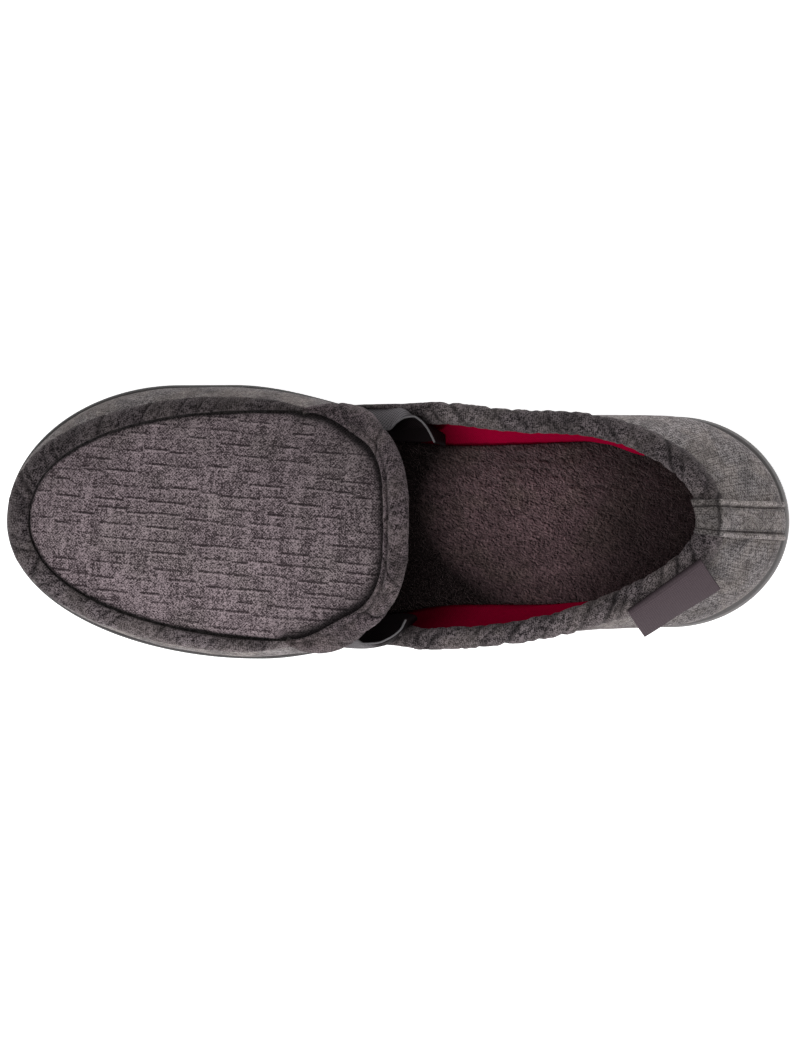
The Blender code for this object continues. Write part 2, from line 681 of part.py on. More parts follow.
def make_label():
    sections = []
    for at in np.linspace(LABEL_FROM, LABEL_TO, LABEL_COLUMNS):
        turn = turn_at(TOP_LINE, at, False)
        depth = [LABEL_DEPTH, LABEL_DEPTH + LABEL_WIDTH]
        offset = np.array([LABEL_ROOT_OFFSET, LABEL_FREE_OFFSET])
        inner = on_wall(turn, 1.0, depth, offset)
        outer = on_wall(turn, 1.0, depth, offset + LABEL_THICKNESS)
        sections.append(np.concatenate([outer, inner[::-1]]))
    add_object("label_tab", sweep(sections), RIBBON)


def main():
    for old in list(bpy.data.objects):
        bpy.data.objects.remove(old)
    make_outsole()
    make_insole()
    make_upper()
    make_apron_roll()
    make_throat_band()
    make_collar_binding()
    make_heel_stay()
    make_gore("gore_medial", MEDIAL_GORE, MEDIAL_NOTCH, True)
    make_gore("gore_lateral", LATERAL_GORE, LATERAL_NOTCH, False)
    make_label()


main()
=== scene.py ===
"""Looks of the left moccasin slipper: cloth, plush, rubber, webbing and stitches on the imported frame.

+X points to the toe, +Y to the lateral side and +Z up. Shapes are worked out in millimetres, with stations
from the back of the heel to the toe, by the same plan lines and wall curves as the solids.
"""

from collections import namedtuple

import bpy
import numpy as np
from mathutils import Matrix, Vector


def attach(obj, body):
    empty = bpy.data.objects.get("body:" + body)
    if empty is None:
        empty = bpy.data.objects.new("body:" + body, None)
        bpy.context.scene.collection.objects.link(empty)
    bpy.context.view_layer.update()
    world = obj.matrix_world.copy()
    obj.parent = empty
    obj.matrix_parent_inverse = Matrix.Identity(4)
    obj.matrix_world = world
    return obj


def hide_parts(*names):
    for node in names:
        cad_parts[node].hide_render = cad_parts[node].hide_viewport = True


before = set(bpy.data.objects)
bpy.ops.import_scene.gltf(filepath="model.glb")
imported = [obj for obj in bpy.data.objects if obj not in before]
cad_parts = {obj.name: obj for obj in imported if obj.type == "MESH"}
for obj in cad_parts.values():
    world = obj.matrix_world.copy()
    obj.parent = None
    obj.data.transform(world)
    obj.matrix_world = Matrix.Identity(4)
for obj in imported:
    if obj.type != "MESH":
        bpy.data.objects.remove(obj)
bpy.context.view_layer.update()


def rows(columns, *values):
    """A table with named columns: one row for each tuple of values."""
    row = namedtuple("Row", columns)
    return tuple(row(*line) for line in values)


# Driving sizes, as in the solids
MM = 0.001
SOLE_LENGTH = 282.0
WALL = 2.6
GAP = 0.4
CROWN = 2.2
TURN_STEP = 1e-4
PLAN_STEP = 1e-3
WALL_REACH = 1.2
WALL_SAMPLES = 90
FINE_SAMPLES = 2000

# Plan lines: half widths on each side of the last's axis, a superellipse round the heel and the toe
Flank = namedtuple("Flank", "heel heel_arc heel_power waist waist_at ball ball_from ball_to toe_power")
PlanLine = namedtuple("PlanLine", "heel_end toe_end medial lateral")
SOLE_EDGE = PlanLine(
    heel_end=0.0,
    toe_end=SOLE_LENGTH,
    medial=Flank(37.2, 40.0, 2.0, 34.0, 118.0, 49.2, 200.0, 220.0, 2.0),
    lateral=Flank(37.4, 42.0, 2.0, 36.5, 115.0, 49.2, 190.0, 192.0, 2.0),
)
TOP_LINE = PlanLine(
    heel_end=22.5,
    toe_end=269.0,
    medial=Flank(35.5, 62.0, 2.0, 39.0, 125.0, 38.9, 167.0, 183.0, 2.3),
    lateral=Flank(42.0, 104.0, 1.9, 43.5, 146.0, 42.0, 164.0, 165.0, 2.1),
)

# Sole: lift of its underside off the floor, its thickness, the outline of its side and its cross grooves
SOLE_STATIONS = rows(
    "at lift thickness",
    (0.0, 1.5, 17.5), (14.0, 0.0, 19.0), (80.0, 0.0, 18.5), (112.0, 2.5, 14.7),
    (150.0, 0.0, 14.5), (208.0, 0.0, 13.0), (SOLE_LENGTH, 9.0, 11.0),
)
SIDE_STEPS = rows(
    "inset share",
    (3.0, 0.0), (1.9, 0.02), (1.1, 0.07), (0.8, 0.14), (0.55, 0.35), (0.4, 0.56), (0.6, 0.60), (1.1, 0.635),
    (1.2, 0.665), (0.7, 0.69), (0.15, 0.73), (0.0, 0.79), (0.0, 0.87), (0.2, 0.94), (0.7, 0.99), (1.6, 1.0),
)
SPINE_HEEL = 34.0
SPINE_TOE = 225.0
SOLE_COLUMNS = 360
SOLE_RINGS = (0.0, 0.3, 0.6, 0.85)
TREAD_GROOVES = (26.0, 41.0, 56.0, 71.0, 152.0, 167.0, 182.0, 197.0, 212.0, 227.0, 242.0)
GROOVE_WIDTH = 3.2
GROOVE_DEPTH = 2.2
CUTTER_LENGTH = 120.0
CUTTER_HEIGHT = 9.0
WELD_REACH = 1e-6
SHARP_ANGLE = np.radians(35.0)

# Upper: the top line's height and the wall's two curve handles, the plug's ridge, the throat and the notches
SECTIONS = rows(
    "at height inset low_out low_rise high_out high_drop",
    (22.5, 65.0, 4.5, 10.0, 12.0, 8.0, 16.0),
    (41.5, 62.0, 5.5, 9.5, 11.0, 6.0, 15.0),
    (81.5, 55.5, 6.0, 8.0, 9.0, 3.0, 13.0),
    (116.5, 52.0, 5.5, 6.0, 8.0, 2.5, 12.0),
    (151.5, 50.5, 5.0, 6.0, 8.0, 4.0, 8.0),
    (172.0, 49.0, 4.5, 6.5, 8.0, 5.5, 6.0),
    (202.0, 46.5, 4.0, 6.5, 8.0, 6.5, 5.5),
    (243.0, 42.5, 4.0, 5.5, 6.5, 7.5, 5.0),
    (269.0, 40.0, 4.0, 4.5, 5.0, 9.5, 4.5),
)
RIDGE = rows(
    "at height",
    (121.5, 80.0), (136.5, 76.0), (161.5, 69.0), (191.5, 61.5), (222.5, 54.0), (248.5, 47.5), (269.0, 40.0),
)
THROAT_AT = 128.5
THROAT_SQUARENESS = 2.7
Notch = namedtuple("Notch", "slope_at bottom_at corner_at bottom_rise")
MEDIAL_NOTCH = Notch(slope_at=114.0, bottom_at=150.0, corner_at=168.0, bottom_rise=0.32)
LATERAL_NOTCH = Notch(slope_at=118.0, bottom_at=150.0, corner_at=174.0, bottom_rise=0.32)
UNDER_WALL = -WALL - GAP

# Random relief: swells of an amount, a size and a seed, and slanting creases
Wave = namedtuple("Wave", "amount size seed")
Creasing = namedtuple("Creasing", "spacing skew width seed")
Padding = namedtuple("Padding", "loose_size fine_size swell nap seed")
Fade = namedtuple("Fade", "amount reach")
NAP_SIZE = 1.2
CREASE_DEPTH = 0.75
CREASE_STEPS = (0.5, 1.5)
CREASE_STRENGTHS = (0.25, 1.0)
SPARE_CREASES = 4
TUCK_WIDTH = 0.8
SEWN_SHARE = 0.2
HASH_WEIGHTS = (73856093, 19349663, 83492791)
HASH_SEED = 7919
HASH_STEPS = ((13, 1274126177), (16, 668265263))
HASH_SHIFT = 15
HASH_MASK = 0xFFFFFF

# Footbed: its edge, the rows of its grid, its pile, and its painted shade by station and towards the sides
INSOLE_THICKNESS = 5.0
INSOLE_FOOT_INSET = 3.4
INSOLE_TOP_INSET = 1.6
INSOLE_CROWN_INSET = 5.5
INSOLE_EDGE_DROP = 0.9
FOOTBED_RUNS = rows(
    "start end count", (0.0, 4.0, 8), (4.0, 165.0, 330), (165.0, 278.0, 44), (278.0, SOLE_LENGTH, 7)
)
FOOTBED_COLUMNS = 150
EDGE_COLUMNS = 7
EDGE_SWELL = 0.5
PILE_DRIFT = (Wave(0.9, 2.0, 11), Wave(0.9, 2.0, 12))
PILE_LOOP = Wave(1.6, 1.3, 13)
PILE_FUZZ = Wave(0.5, 0.8, 14)
PILE_BRUSH = Wave(1.0, 16.0, 15)
PILE_PATCH = Wave(0.5, 7.0, 16)
LOOP_STRETCH = (0.75, 1.0)
BRUSH_STRETCH = (0.6, 1.0)
PILE_HEIGHT = 0.30
FOOTBED_PAINTED_SHADE = rows(
    "at shade",
    (0.0, 0.85), (36.0, 0.84), (58.0, 0.67), (84.0, 0.12), (112.0, 0.10),
    (120.0, 0.24), (126.0, 0.60), (131.0, 0.97), (138.0, 0.99),
)
VAMP_SHADOW_FROM = 84.0
VAMP_SHADOW_LEAN = 6.5
VAMP_SHADOW_BOW = 11.5
VAMP_SHADOW_HALF = 24.0
SIDE_SHADES = rows("side shade start reach", (-1.0, 0.40, 13.0, 9.0), (1.0, 0.28, 15.0, 9.0))
BRUSH_SHADE = 0.24
DARKEST_PILE = 0.98

# Wall cloth: how far it puffs out, its painted light and shade by station and side, its relief and painted
# shades
WALL_COLUMNS = 720
WALL_ROWS = 46
WALL_PUFF = rows(
    "at medial lateral",
    (0.0, 0.9, 0.9), (60.0, 0.9, 0.9), (120.0, 0.3, 0.3), (150.0, 0.5, 0.3),
    (180.0, 0.35, -0.3), (232.0, 0.3, -0.4), (258.0, 0.0, -0.2),
)
PUFF_HEIGHT = 22.0
PUFF_POWER = 0.7
WALL_PAINTED_SHADE = rows(
    "at medial lateral",
    (0.0, 0.29, 0.33), (22.0, 0.29, 0.37), (36.0, 0.20, 0.37), (48.0, 0.04, 0.36), (66.0, 0.04, 0.34),
    (95.0, 0.19, 0.30), (160.0, 0.28, 0.25), (190.0, 0.40, 0.22), (269.0, 0.40, 0.25),
)
WALL_RELIEF = (Wave(0.20, 16.0, 21), Wave(0.10, 5.0, 22))
WALL_CALM = 4.0
FOOT_SHADE = Fade(0.45, 0.9)
SEAM_SHADE = Fade(0.92, 1.6)
COLLAR_SHADE = Fade(0.16, 5.0)
COLLAR_DROP = 7.0
CLOTH_THICKNESS = 1.2
HEM = 2.2
HEM_TURN = 3.0
RIBS_ALONG_AT = 150.0
DARKEST_CLOTH = 0.92

# Lining: how far it stands in from the wall over the footbed's edge by station, and its painted shadow under
# the vamp
LINING_FLARE = rows(
    "at medial lateral",
    (26.0, 0.0, 0.0), (45.0, 3.4, 1.2), (56.0, 5.6, 2.2), (62.0, 8.7, 3.2),
    (66.0, 9.7, 3.6), (69.5, 8.3, 3.9), (76.0, 4.8, 4.6), (82.0, 3.1, 4.4),
    (88.0, 1.8, 3.6), (101.0, 0.6, 1.8), (115.0, 0.0, 0.0),
)
FLARE_FROM = 6.0
FLARE_COLLAR = 14.0
FLARE_LEAST = 4.0
FLARE_POWER = 1.3
FLARE_FOOT = 5.0
LINING_OFFSET = 1.35
LINING_FACE = Wave(-0.10, 9.0, 23)
LINING_BACK = Wave(0.15, 7.0, 24)
VAMP_PAINTED_SHADOW = 0.7
LINING_SHADOW_FROM = 112.0
LINING_SHADOW_LENGTH = 22.0

# Plug: its grid, pressed pattern of dashes with painted highlights, tone bars and dotted columns, relief,
# painted shades
PLUG_GRID = (400, 236)
PLUG_LINING_GRID = (90, 50)
UNDER_COLUMNS = 10
UNDER_OFFSET = -1.8
PLUG_START = 0.4
PLUG_END = 0.3
SEAM_SAMPLES = 420
THROAT_SAMPLES = 260
EMBOSS_SEED = 5
DASH_TILT = np.radians(5.0)
DASH_ROWS = 4.6
DASH_LINE = 0.29
DASH_LENGTH = (5.0, 14.0)
DASH_HIGHLIGHT_STEP = 0.75
DASH_HIGHLIGHT = 0.55
DASH_FAINT = (0.1, 0.4)
DASH_STRONG = (0.6, 1.0)
DASH_CHANCES = (0.25, 0.75)
DASH_GAPS = ((0.3, 1.5), (2.0, 7.0))
DASH_LIMITS = (-1.1, 0.8)
BAR_STEP = 4.4
BAR_LENGTH = (3.5, 9.0)
BAR_WIDTH = (1.8, 4.6)
BAR_TONES = (-0.9, 0.0, 0.9)
BAR_GAP = 0.3
BAR_GAPS = (1.0, 5.0)
BAR_LIMIT = 1.2
DOT_LINE = 0.40
DOT_STRENGTH = (0.2, 1.0)
PATTERN_START = (0.0, 10.0)
PATTERN_DRIFT = (0.0, 0.6)
PATTERN_SOFT = 0.8
DASH_REACH = 3.0
BAR_REACH = 6.0
PLUG_SWELL = (Wave(0.35, 22.0, 31), Wave(0.14, 7.0, 32))
PLUG_PUCKER = Wave(0.40, 3.2, 34)
PUCKER_REACH = 5.0
PLUG_RELIEF = {"dash": 0.32, "tone": 0.06, "dots": -0.08}
SEAM_DIP = 1.1
THROAT_DIP = Fade(0.9, 1.3)
DIP_START = 0.4
PLUG_CALM = 2.0
SEAM_RAGGED = (Wave(0.45, 2.6, 35), Wave(0.5, 9.0, 36))
PLUG_SEAM_SHADE = Fade(0.86, 0.6)
THROAT_SHADES = (Fade(0.65, 2.4), Fade(0.22, 8.0))
THROAT_SHADE_START = 0.2
REAR_SHADE = 0.16
REAR_SHADE_AT = 195.0
REAR_SHADE_LENGTH = 45.0
PLUG_LINING_FACE = -1.9
PLUG_LINING_BACK = -2.6
PLUG_LINING_RELIEF = Wave(0.1, 8.0, 33)

# Sewn strips: padded outlines as depth down from an edge and offset out of the face, then their slots
ROLL_OUTLINE = rows(
    "depth offset",
    (0.05, 0.45), (-0.04, 0.9), (-0.09, 1.8), (-0.02, 2.7), (0.14, 3.3), (0.34, 3.6),
    (0.54, 3.55), (0.72, 3.2), (0.88, 2.5), (0.99, 1.5), (1.03, 0.8), (1.0, 0.42),
)
ROLL_BASE = rows("depth offset", (0.68, 0.42), (0.36, 0.42))
ROLL_WIDTHS = rows(
    "at width", (167.0, 1.6), (176.0, 4.0), (190.0, 5.8), (208.0, 7.2), (235.0, 7.6), (269.0, 9.8)
)
BINDING_OUTLINE = rows(
    "depth offset",
    (7.4, 0.45), (7.4, 1.2), (6.4, 2.0), (4.5, 2.6), (2.4, 2.7), (0.6, 2.2), (-0.9, 1.1), (-1.7, -0.4),
    (-1.8, -1.6), (-1.5, -3.0), (-0.5, -4.2), (1.0, -4.9), (2.8, -5.1), (4.8, -4.9), (6.4, -4.2), (7.0, -3.1),
)
BINDING_SLOT = rows("depth offset", (3.4, -3.05), (-0.4, -3.05), (-0.4, 0.42), (3.6, 0.42))
BAND_OUTLINE = rows(
    "depth offset",
    (6.9, 0.45), (7.2, 1.1), (6.9, 1.9), (6.2, 2.2), (5.6, 1.9), (5.2, 1.2), (4.8, 1.8),
    (4.0, 2.6), (2.8, 3.1), (1.4, 2.9), (0.1, 2.1), (-1.0, 1.0), (-1.7, -0.4), (-1.8, -1.7),
    (-1.4, -3.1), (-0.3, -4.1), (1.3, -4.5), (3.2, -4.5), (4.8, -4.1), (5.4, -3.1),
)
BAND_SLOT = rows("depth offset", (2.6, -3.05), (-0.4, -3.05), (-0.4, 0.42), (2.6, 0.42), (5.6, 0.42))

# Apron roll: tucks round the toe, by turn, and its painted shade by turn, darkest at the medial side and toe
ROLL_ROWS = 620
ROLL_POINTS = 36
ROLL_GIRTH = 16.0
ROLL_PAD = Padding(loose_size=7.0, fine_size=2.6, swell=0.26, nap=0.10, seed=41)
ROLL_CREASES = Creasing(spacing=7.0, skew=0.7, width=0.6, seed=41)
ROLL_TUCKS = rows(
    "turn depth skew",
    (0.86, 0.8, 0.5), (0.94, 1.1, 0.8), (0.965, 0.7, 0.9), (1.09, 1.1, -0.7), (1.19, 0.7, -0.5),
)
ROLL_TUCK_MIDDLE = 5.0
ROLL_SOFT_HEIGHT = 1.6
ROLL_FULL_WIDTH = 6.5
ROLL_LEAST = 0.55
ROLL_END = 11.0
ROLL_END_SHARE = 0.15
ROLL_BIAS = 0.6
ROLL_PAINTED_SHADE = rows("at shade", (0.6, 0.58), (0.9, 0.58), (1.0, 0.50), (1.12, 0.38), (1.24, 0.05), (1.4, 0.0))
ROLL_UNDER_SHADE = 0.30
ROLL_UNDER_START = 1.1
ROLL_UNDER_FALL = 1.5
ROLL_CREASE_SHADE = 0.65
ROLL_EDGE_SHADE = 0.25
DARKEST_ROLL = 0.9

# Collar binding: its painted shade by turn, and how much further in it bulges on the lateral side by station
BINDING_ROWS = 640
BINDING_POINTS = 46
BINDING_GIRTH = 26.0
BINDING_MIDDLE = (2.8, -1.3)
BINDING_PAD = Padding(loose_size=6.0, fine_size=2.4, swell=0.26, nap=0.12, seed=51)
BINDING_CREASES = Creasing(spacing=6.5, skew=0.75, width=1.1, seed=51)
SLANT_CHANGE = 40.0
BINDING_END = 16.0
BINDING_END_SHARE = 0.6
BINDING_BIAS = 0.6
BINDING_PAINTED_SHADE = rows("at shade", (-0.6, 0.10), (-0.3, 0.0), (0.0, 0.20), (0.3, 0.30), (0.45, 0.0), (0.6, 0.0))
BINDING_REACH = rows("at reach", (4.0, 0.0), (20.0, 1.3), (45.0, 1.7), (62.0, 1.0), (80.0, 0.0))
REACH_SOFT = 2.0
BINDING_CREASE_SHADE = 0.75
BINDING_LOOSE_SHADE = -0.18
DARKEST_FOLD = 0.85

# Binding's thin front ends, sewn down along the outside of the gores, and their painted shade
TAIL_ROWS = 90
TAIL_POINTS = 24
TAIL_GIRTH = 2.2
TAIL_LOOSE = (Wave(0.10, 5.0, 55), Wave(0.06, 1.4, 56))
TAIL_CREASES = Creasing(spacing=5.0, skew=0.75, width=0.65, seed=57)
TAIL_SHADE = 0.38
TAIL_CREASE_SHADE = 0.35
DARKEST_TAIL = 0.8
MEDIAL_TAIL = rows(
    "at depth height inner outer",
    (119.0, 4.5, 5.5, -1.0, 2.6), (127.0, 5.4, 5.2, -2.6, 2.4), (132.0, 6.2, 4.6, -1.2, 2.1),
    (136.0, 7.0, 4.0, -0.6, 1.8), (146.0, 8.5, 3.2, -0.5, 1.2), (157.0, 10.0, 1.6, -1.8, 0.0),
)
LATERAL_TAIL = rows(
    "at depth height inner outer",
    (122.0, 4.5, 5.5, -2.0, 2.4), (129.0, 5.4, 5.0, -4.0, 2.0),
    (134.0, 7.0, 3.6, -3.2, 1.0), (141.0, 9.0, 1.0, -1.6, -0.7),
)

# Throat band: its taper, its spread near the corners, and tucks with its length's share as the turn
BAND_ROWS = 460
BAND_POINTS = 56
BAND_GIRTH = 28.0
BAND_TAPER = 26.0
BAND_POINT = 0.10
BAND_DEPTH = 7.1
BAND_SHARE = 0.86
BAND_LEAST = 0.6
BandSpread = namedtuple("BandSpread", "amount peak")
MEDIAL_SPREAD = BandSpread(2.4, 1.3)
LATERAL_SPREAD = BandSpread(3.4, 0.8)
SPREAD_REACH = 30.0
BAND_PAD = Padding(loose_size=8.0, fine_size=2.6, swell=0.36, nap=0.12, seed=61)
BAND_CREASES = Creasing(spacing=9.0, skew=0.6, width=0.7, seed=61)
BAND_TUCKS = rows(
    "turn depth skew",
    (0.12, 0.7, 0.9), (0.53, 0.9, -0.7), (0.60, 1.0, -0.8), (0.655, 0.7, -0.8), (0.87, 0.8, 0.9),
)
BAND_TUCK_MIDDLE = 9.0
BAND_BIAS = 0.5
PIPING_AT = 5.3
PIPING_WIDTH = 0.5
PIPING_LEAST = 0.6
PIPING_FILL = 0.6
PIPING_FADE = 1.4
PIPING_FADE_MOST = 0.8
# Painted shade in the piping groove, uneven along the band; creases painted darker and loose parts lighter
PIPING_SHADE_WAVER = Wave(0.6, 9.0, 65)
PIPING_SHADE_MEAN = 0.55
PIPING_SHADE = 0.5
BAND_CREASE_SHADE = 0.62
BAND_LOOSE_SHADE = -0.16

# Heel stay: its path over the collar and down the back, its outline across, its fold and its painted shades
STAY_LEAN = 1.5
STAY_FOLD = 21.2
STAY_ROWS = 110
STAY_POINTS = 61
STAY_BASE_STEP = 6
STAY_PATH = rows(
    "depth offset outer_depth outer_offset",
    (46.0, GAP, 46.2, 1.5), (40.0, GAP, 40.0, 1.9), (32.0, GAP, 32.0, 1.9), (24.0, GAP, 24.0, 1.9),
    (16.5, GAP, 16.5, 1.9), (11.2, GAP + 0.1, 11.6, 2.1), (8.4, 2.2, 8.8, 3.6), (5.0, 3.0, 5.2, 4.4),
    (1.5, 3.0, 1.2, 4.4), (-1.3, 1.6, -2.4, 2.6), (-2.2, -0.6, -3.6, -0.4), (-2.0, -3.3, -3.4, -3.9),
    (0.6, -5.3, 0.0, -6.6), (3.4, -5.6, 3.4, -7.0), (6.2, -5.3, 6.2, -6.6),
)
STAY_HALF_OUTLINE = rows(
    "across height",
    (6.8, 0.10), (6.75, 0.7), (6.4, 1.25), (5.6, 1.40), (4.9, 1.05), (4.5, 0.35), (4.1, 0.70), (3.2, 0.90),
)
STAY_MIDDLE_HEIGHT = 0.95
STAY_RELIEF = (Wave(0.10, 5.0, 71), Wave(0.06, 1.3, 72))
FOLD_CREASE = Fade(0.35, 0.8)
FOLD_SOFT = 3.0
FOLDED_HEIGHT = 0.85
TUCKED_FROM = 11.0
TUCKED_LENGTH = 7.0
TUCKED_THINNING = 0.85
TUCKED_NARROWING = 0.35
STAY_GROOVES = rows("across width", (4.5, 0.45), (6.8, 0.3))
STAY_PANEL = 4.4
STAY_SHADES = {"groove": 0.50, "panel": 0.16, "crease": 0.6, "folded": 0.65}
GROOVE_FADE = 0.7
STITCH_LINES = rows("across lift", (-5.6, 1.12), (-3.5, 0.95), (3.5, 0.95), (5.6, 1.12))
STITCHED_ROWS = 62
STITCH_SPACING = 2.3
STITCH_LENGTH = 1.7
STITCH_RADIUS = 0.2
STITCH_SIDES = 6
STITCH_RINGS = rows("share size", (-0.42, 0.7), (-0.15, 1.0), (0.15, 1.0), (0.42, 0.7))

# Elastic gores: folds by station, and where the outside comes out from the collar's painted shadow, over what
# length
GORE_GRID = (130, 60)
GORE_THICKNESS = 1.2
GORE_LENGTH = 42.0
GORE_CLEAR_RISE = 0.08
GORE_LEAST_SWELL = 0.02
GORE_COLUMNS = "at foot_rise foot_inset swell_rise swell_inset top_rise top_inset"
MEDIAL_GORE = rows(
    GORE_COLUMNS,
    (121.0, 0.62, 11.0, 0.80, 11.0, 0.98, 10.8),
    (123.5, 0.50, 6.5, 0.75, 6.3, 1.03, 6.0),
    (126.0, 0.40, 5.4, 0.98, 3.6, 1.06, 2.6),
    (128.5, 0.34, 5.4, 0.95, 2.4, 1.06, 1.0),
    (131.5, 0.30, 5.4, 0.92, 0.4, 1.06, 1.4),
    (134.5, 0.27, 5.4, 0.85, -0.4, 1.05, 3.2),
    (138.0, 0.25, 5.4, 0.78, -0.6, 1.03, 6.2),
    (143.0, 0.23, 5.4, 0.70, -0.6, 0.98, 5.0),
    (150.0, 0.22, 5.4, 0.62, -0.6, 0.95, 2.6),
    (156.0, 0.22, 3.6, 0.70, 1.6, 0.97, 3.2),
    (162.0, 0.22, 3.6, 0.80, 2.4, 0.96, 3.4),
    (167.0, 0.22, 3.6, 0.85, 3.0, 0.95, 3.4),
)
LATERAL_GORE = rows(
    GORE_COLUMNS,
    (131.0, 0.62, 8.0, 0.80, 8.0, 1.00, 7.5),
    (133.0, 0.45, 5.6, 0.92, 4.6, 1.05, 3.6),
    (137.0, 0.32, 5.4, 0.85, 1.2, 1.06, 0.8),
    (141.0, 0.27, 5.4, 0.80, 0.4, 1.05, -0.4),
    (146.0, 0.24, 5.4, 0.70, 0.0, 1.03, -0.2),
    (149.0, 0.22, 5.4, 0.65, -0.4, 0.98, 1.6),
    (155.0, 0.22, 5.4, 0.70, 0.0, 0.96, 2.4),
    (160.0, 0.22, 3.8, 0.75, 1.0, 0.97, 3.0),
    (168.0, 0.22, 3.6, 0.85, 2.4, 0.96, 3.4),
    (173.0, 0.22, 3.6, 0.88, 3.0, 0.95, 3.4),
)
MEDIAL_SHADOW_END = 127.4
LATERAL_SHADOW_END = 140.0
GORE_SHADOW_REACH = 5.5
BEAD_RADIUS = 0.36
BEAD_POINTS = 120
BEAD_SIDES = 8

# Label tab: its corners on the wall, two above and two below, how it bows, and its painted shade at the top
# edge
LABEL_CORNERS = rows(
    "at depth offset lift",
    (27.1, -0.9, 2.4, 2.5), (52.5, -0.7, 2.6, 2.5), (31.0, 17.8, 3.9, 0.0), (56.0, 20.3, 4.7, 0.0),
)
LABEL_GRID = (60, 40)
LABEL_BULGE = 1.2
LABEL_BOW = 0.6
LABEL_PEAK = 2.6
LABEL_CREST = 0.6
LABEL_THICKNESS = 0.9
LABEL_RIPPLE = 0.15
LABEL_RIPPLES = 9.0
LABEL_SHADE = Fade(0.35, 0.8)

# Colours, from the dark to the light of each surface
Tones = namedtuple("Tones", "dark light")
CLOTHS = rows(
    "name dark light taupe rib_period rib_share",
    ("quarter_cloth", (0.085, 0.076, 0.077), (0.415, 0.382, 0.382), (0.435, 0.370, 0.326), 0.95, 0.30),
    ("dark_cloth", (0.012, 0.009, 0.010), (0.222, 0.186, 0.197), (0.222, 0.188, 0.177), 0.0, 0.0),
    ("binding_cloth", (0.012, 0.010, 0.011), (0.190, 0.160, 0.168), (0.190, 0.163, 0.150), 0.0, 0.0),
    ("band_cloth", (0.006, 0.004, 0.005), (0.150, 0.118, 0.129), (0.148, 0.122, 0.114), 0.0, 0.0),
    ("stay_cloth", (0.080, 0.071, 0.071), (0.410, 0.374, 0.374), (0.420, 0.366, 0.326), 0.85, 0.14),
)
PLUG_MAUVE = Tones((0.032, 0.023, 0.026), (0.296, 0.237, 0.255))
PLUG_TAUPE = Tones((0.036, 0.032, 0.030), (0.264, 0.235, 0.220))
PLUSH_MAUVE = Tones((0.016, 0.008, 0.010), (0.318, 0.207, 0.222))
PLUSH_OLIVE = Tones((0.018, 0.012, 0.011), (0.324, 0.241, 0.213))
LINING_CRIMSON = Tones((0.14, 0.0006, 0.011), (0.355, 0.0016, 0.033))
WEBBING_GREY = Tones((0.032, 0.028, 0.031), (0.174, 0.162, 0.171))
WEBBING_SHADOW = (0.009, 0.006, 0.007)
RIBBON_GREY = Tones((0.030, 0.021, 0.025), (0.092, 0.070, 0.079))
RUBBER_GREY = Tones((0.096, 0.091, 0.091), (0.194, 0.184, 0.184))
THREAD_GREY = Tones((0.05, 0.045, 0.046), (0.16, 0.145, 0.147))
BEAD_GREY = Tones((0.075, 0.071, 0.075), (0.18, 0.172, 0.18))
FLOOR_WHITE = Tones((0.90, 0.90, 0.90), (0.93, 0.93, 0.93))
FLOOR_GLOW = 0.7
WHITE = (1.0, 1.0, 1.0)
BLACK = (0.0, 0.0, 0.0)
CLOTH_SHEEN = (0.80, 0.70, 0.72)
PLUSH_SHEEN = (0.62, 0.46, 0.46)
SHEEN_ROUGHNESS = 0.5

# Weaves: the period of a wave texture of scale 1, the slant of threads, and the pile's slant, stretch and
# painted-light step
WAVE_PERIOD = 0.314
THREAD_SLANTS = (45.0, -45.0)
THREAD_WANDER = 2.5
WEBBING_SLANT = 38.0
PILE_SLANT = 20.0
PILE_STRETCH = (0.72, 1.05, 1.0)
PILE_LIGHT_STEP = (0.22, 0.32, 0.0)
LINING_CORD = WAVE_PERIOD / 0.45
STREAK_STRETCH = (1.0, 0.14, 1.0)
RIB_STRETCH = (1.0, 0.05, 0.0)
RIB_WANDER = 1.2
RIB_WEAR_SCALE = 0.20

# Cloth tones: the range of each texture layer and the range of tone it gives
Spread = namedtuple("Spread", "low high to_low to_high")
RIB_SPREAD = Spread(0.0, 0.6, -1.0, 0.5)
RIB_WEAR_SPREAD = Spread(0.35, 0.6, 0.25, 1.0)
TONE_COLUMNS = "layer low high to_low to_high"
NAP_TONES = rows(
    TONE_COLUMNS,
    ("dots", 0.0, 0.75, -0.13, 0.42),
    ("fleck", 0.0, 1.0, -0.66, 0.66),
    ("mottle", 0.3, 0.7, -0.15, 1.0),
    ("streak", 0.3, 0.7, -0.22, 0.22),
)
PLUG_TONES = rows(
    TONE_COLUMNS,
    ("dots", 0.0, 0.75, -0.06, 0.34),
    ("fleck", 0.0, 1.0, -0.64, 0.64),
    ("mottle", 0.3, 0.7, 0.0, 0.70),
)
PIT_TONE = -0.60
TAUPE_DARK = 0.5

# Camera, lamps and floor
CAMERA_TILT = np.radians(9.0)
CAMERA_DISTANCE = 2.0
CAMERA_LENS = 252.6
CAMERA_CLIP = (0.05, 40.0)
SENSOR = 36.0
TARGET_HEIGHT = 0.020
TARGET_RIGHT = 0.0027
TARGET_DOWN = 0.0008
LAMPS = rows(
    "name place size power",
    ("overhead", (0.35, 0.2, 2.4), 1.4, 18.0),
    ("lateral_key", (0.25, 1.5, 1.1), 1.0, 22.0),
    ("medial_fill", (-0.6, -1.4, 1.2), 1.2, 4.0),
)
LAMP_AIM = (0.0, 0.0, 0.03)
WORLD_STRENGTH = 0.42
FLOOR_HALF = 8.0


# Shape functions, as in the solids
def arc(share, power=2.0):
    """Quarter of a superellipse: 1 where share is 0, 0 where it is 1."""
    return (1.0 - np.clip(share, 0.0, 1.0) ** power) ** (1.0 / power)


def ease(start, end, share):
    """Smooth step from start to end."""
    share = np.clip(share, 0.0, 1.0)
    return start + (end - start) * share * share * (3.0 - 2.0 * share)


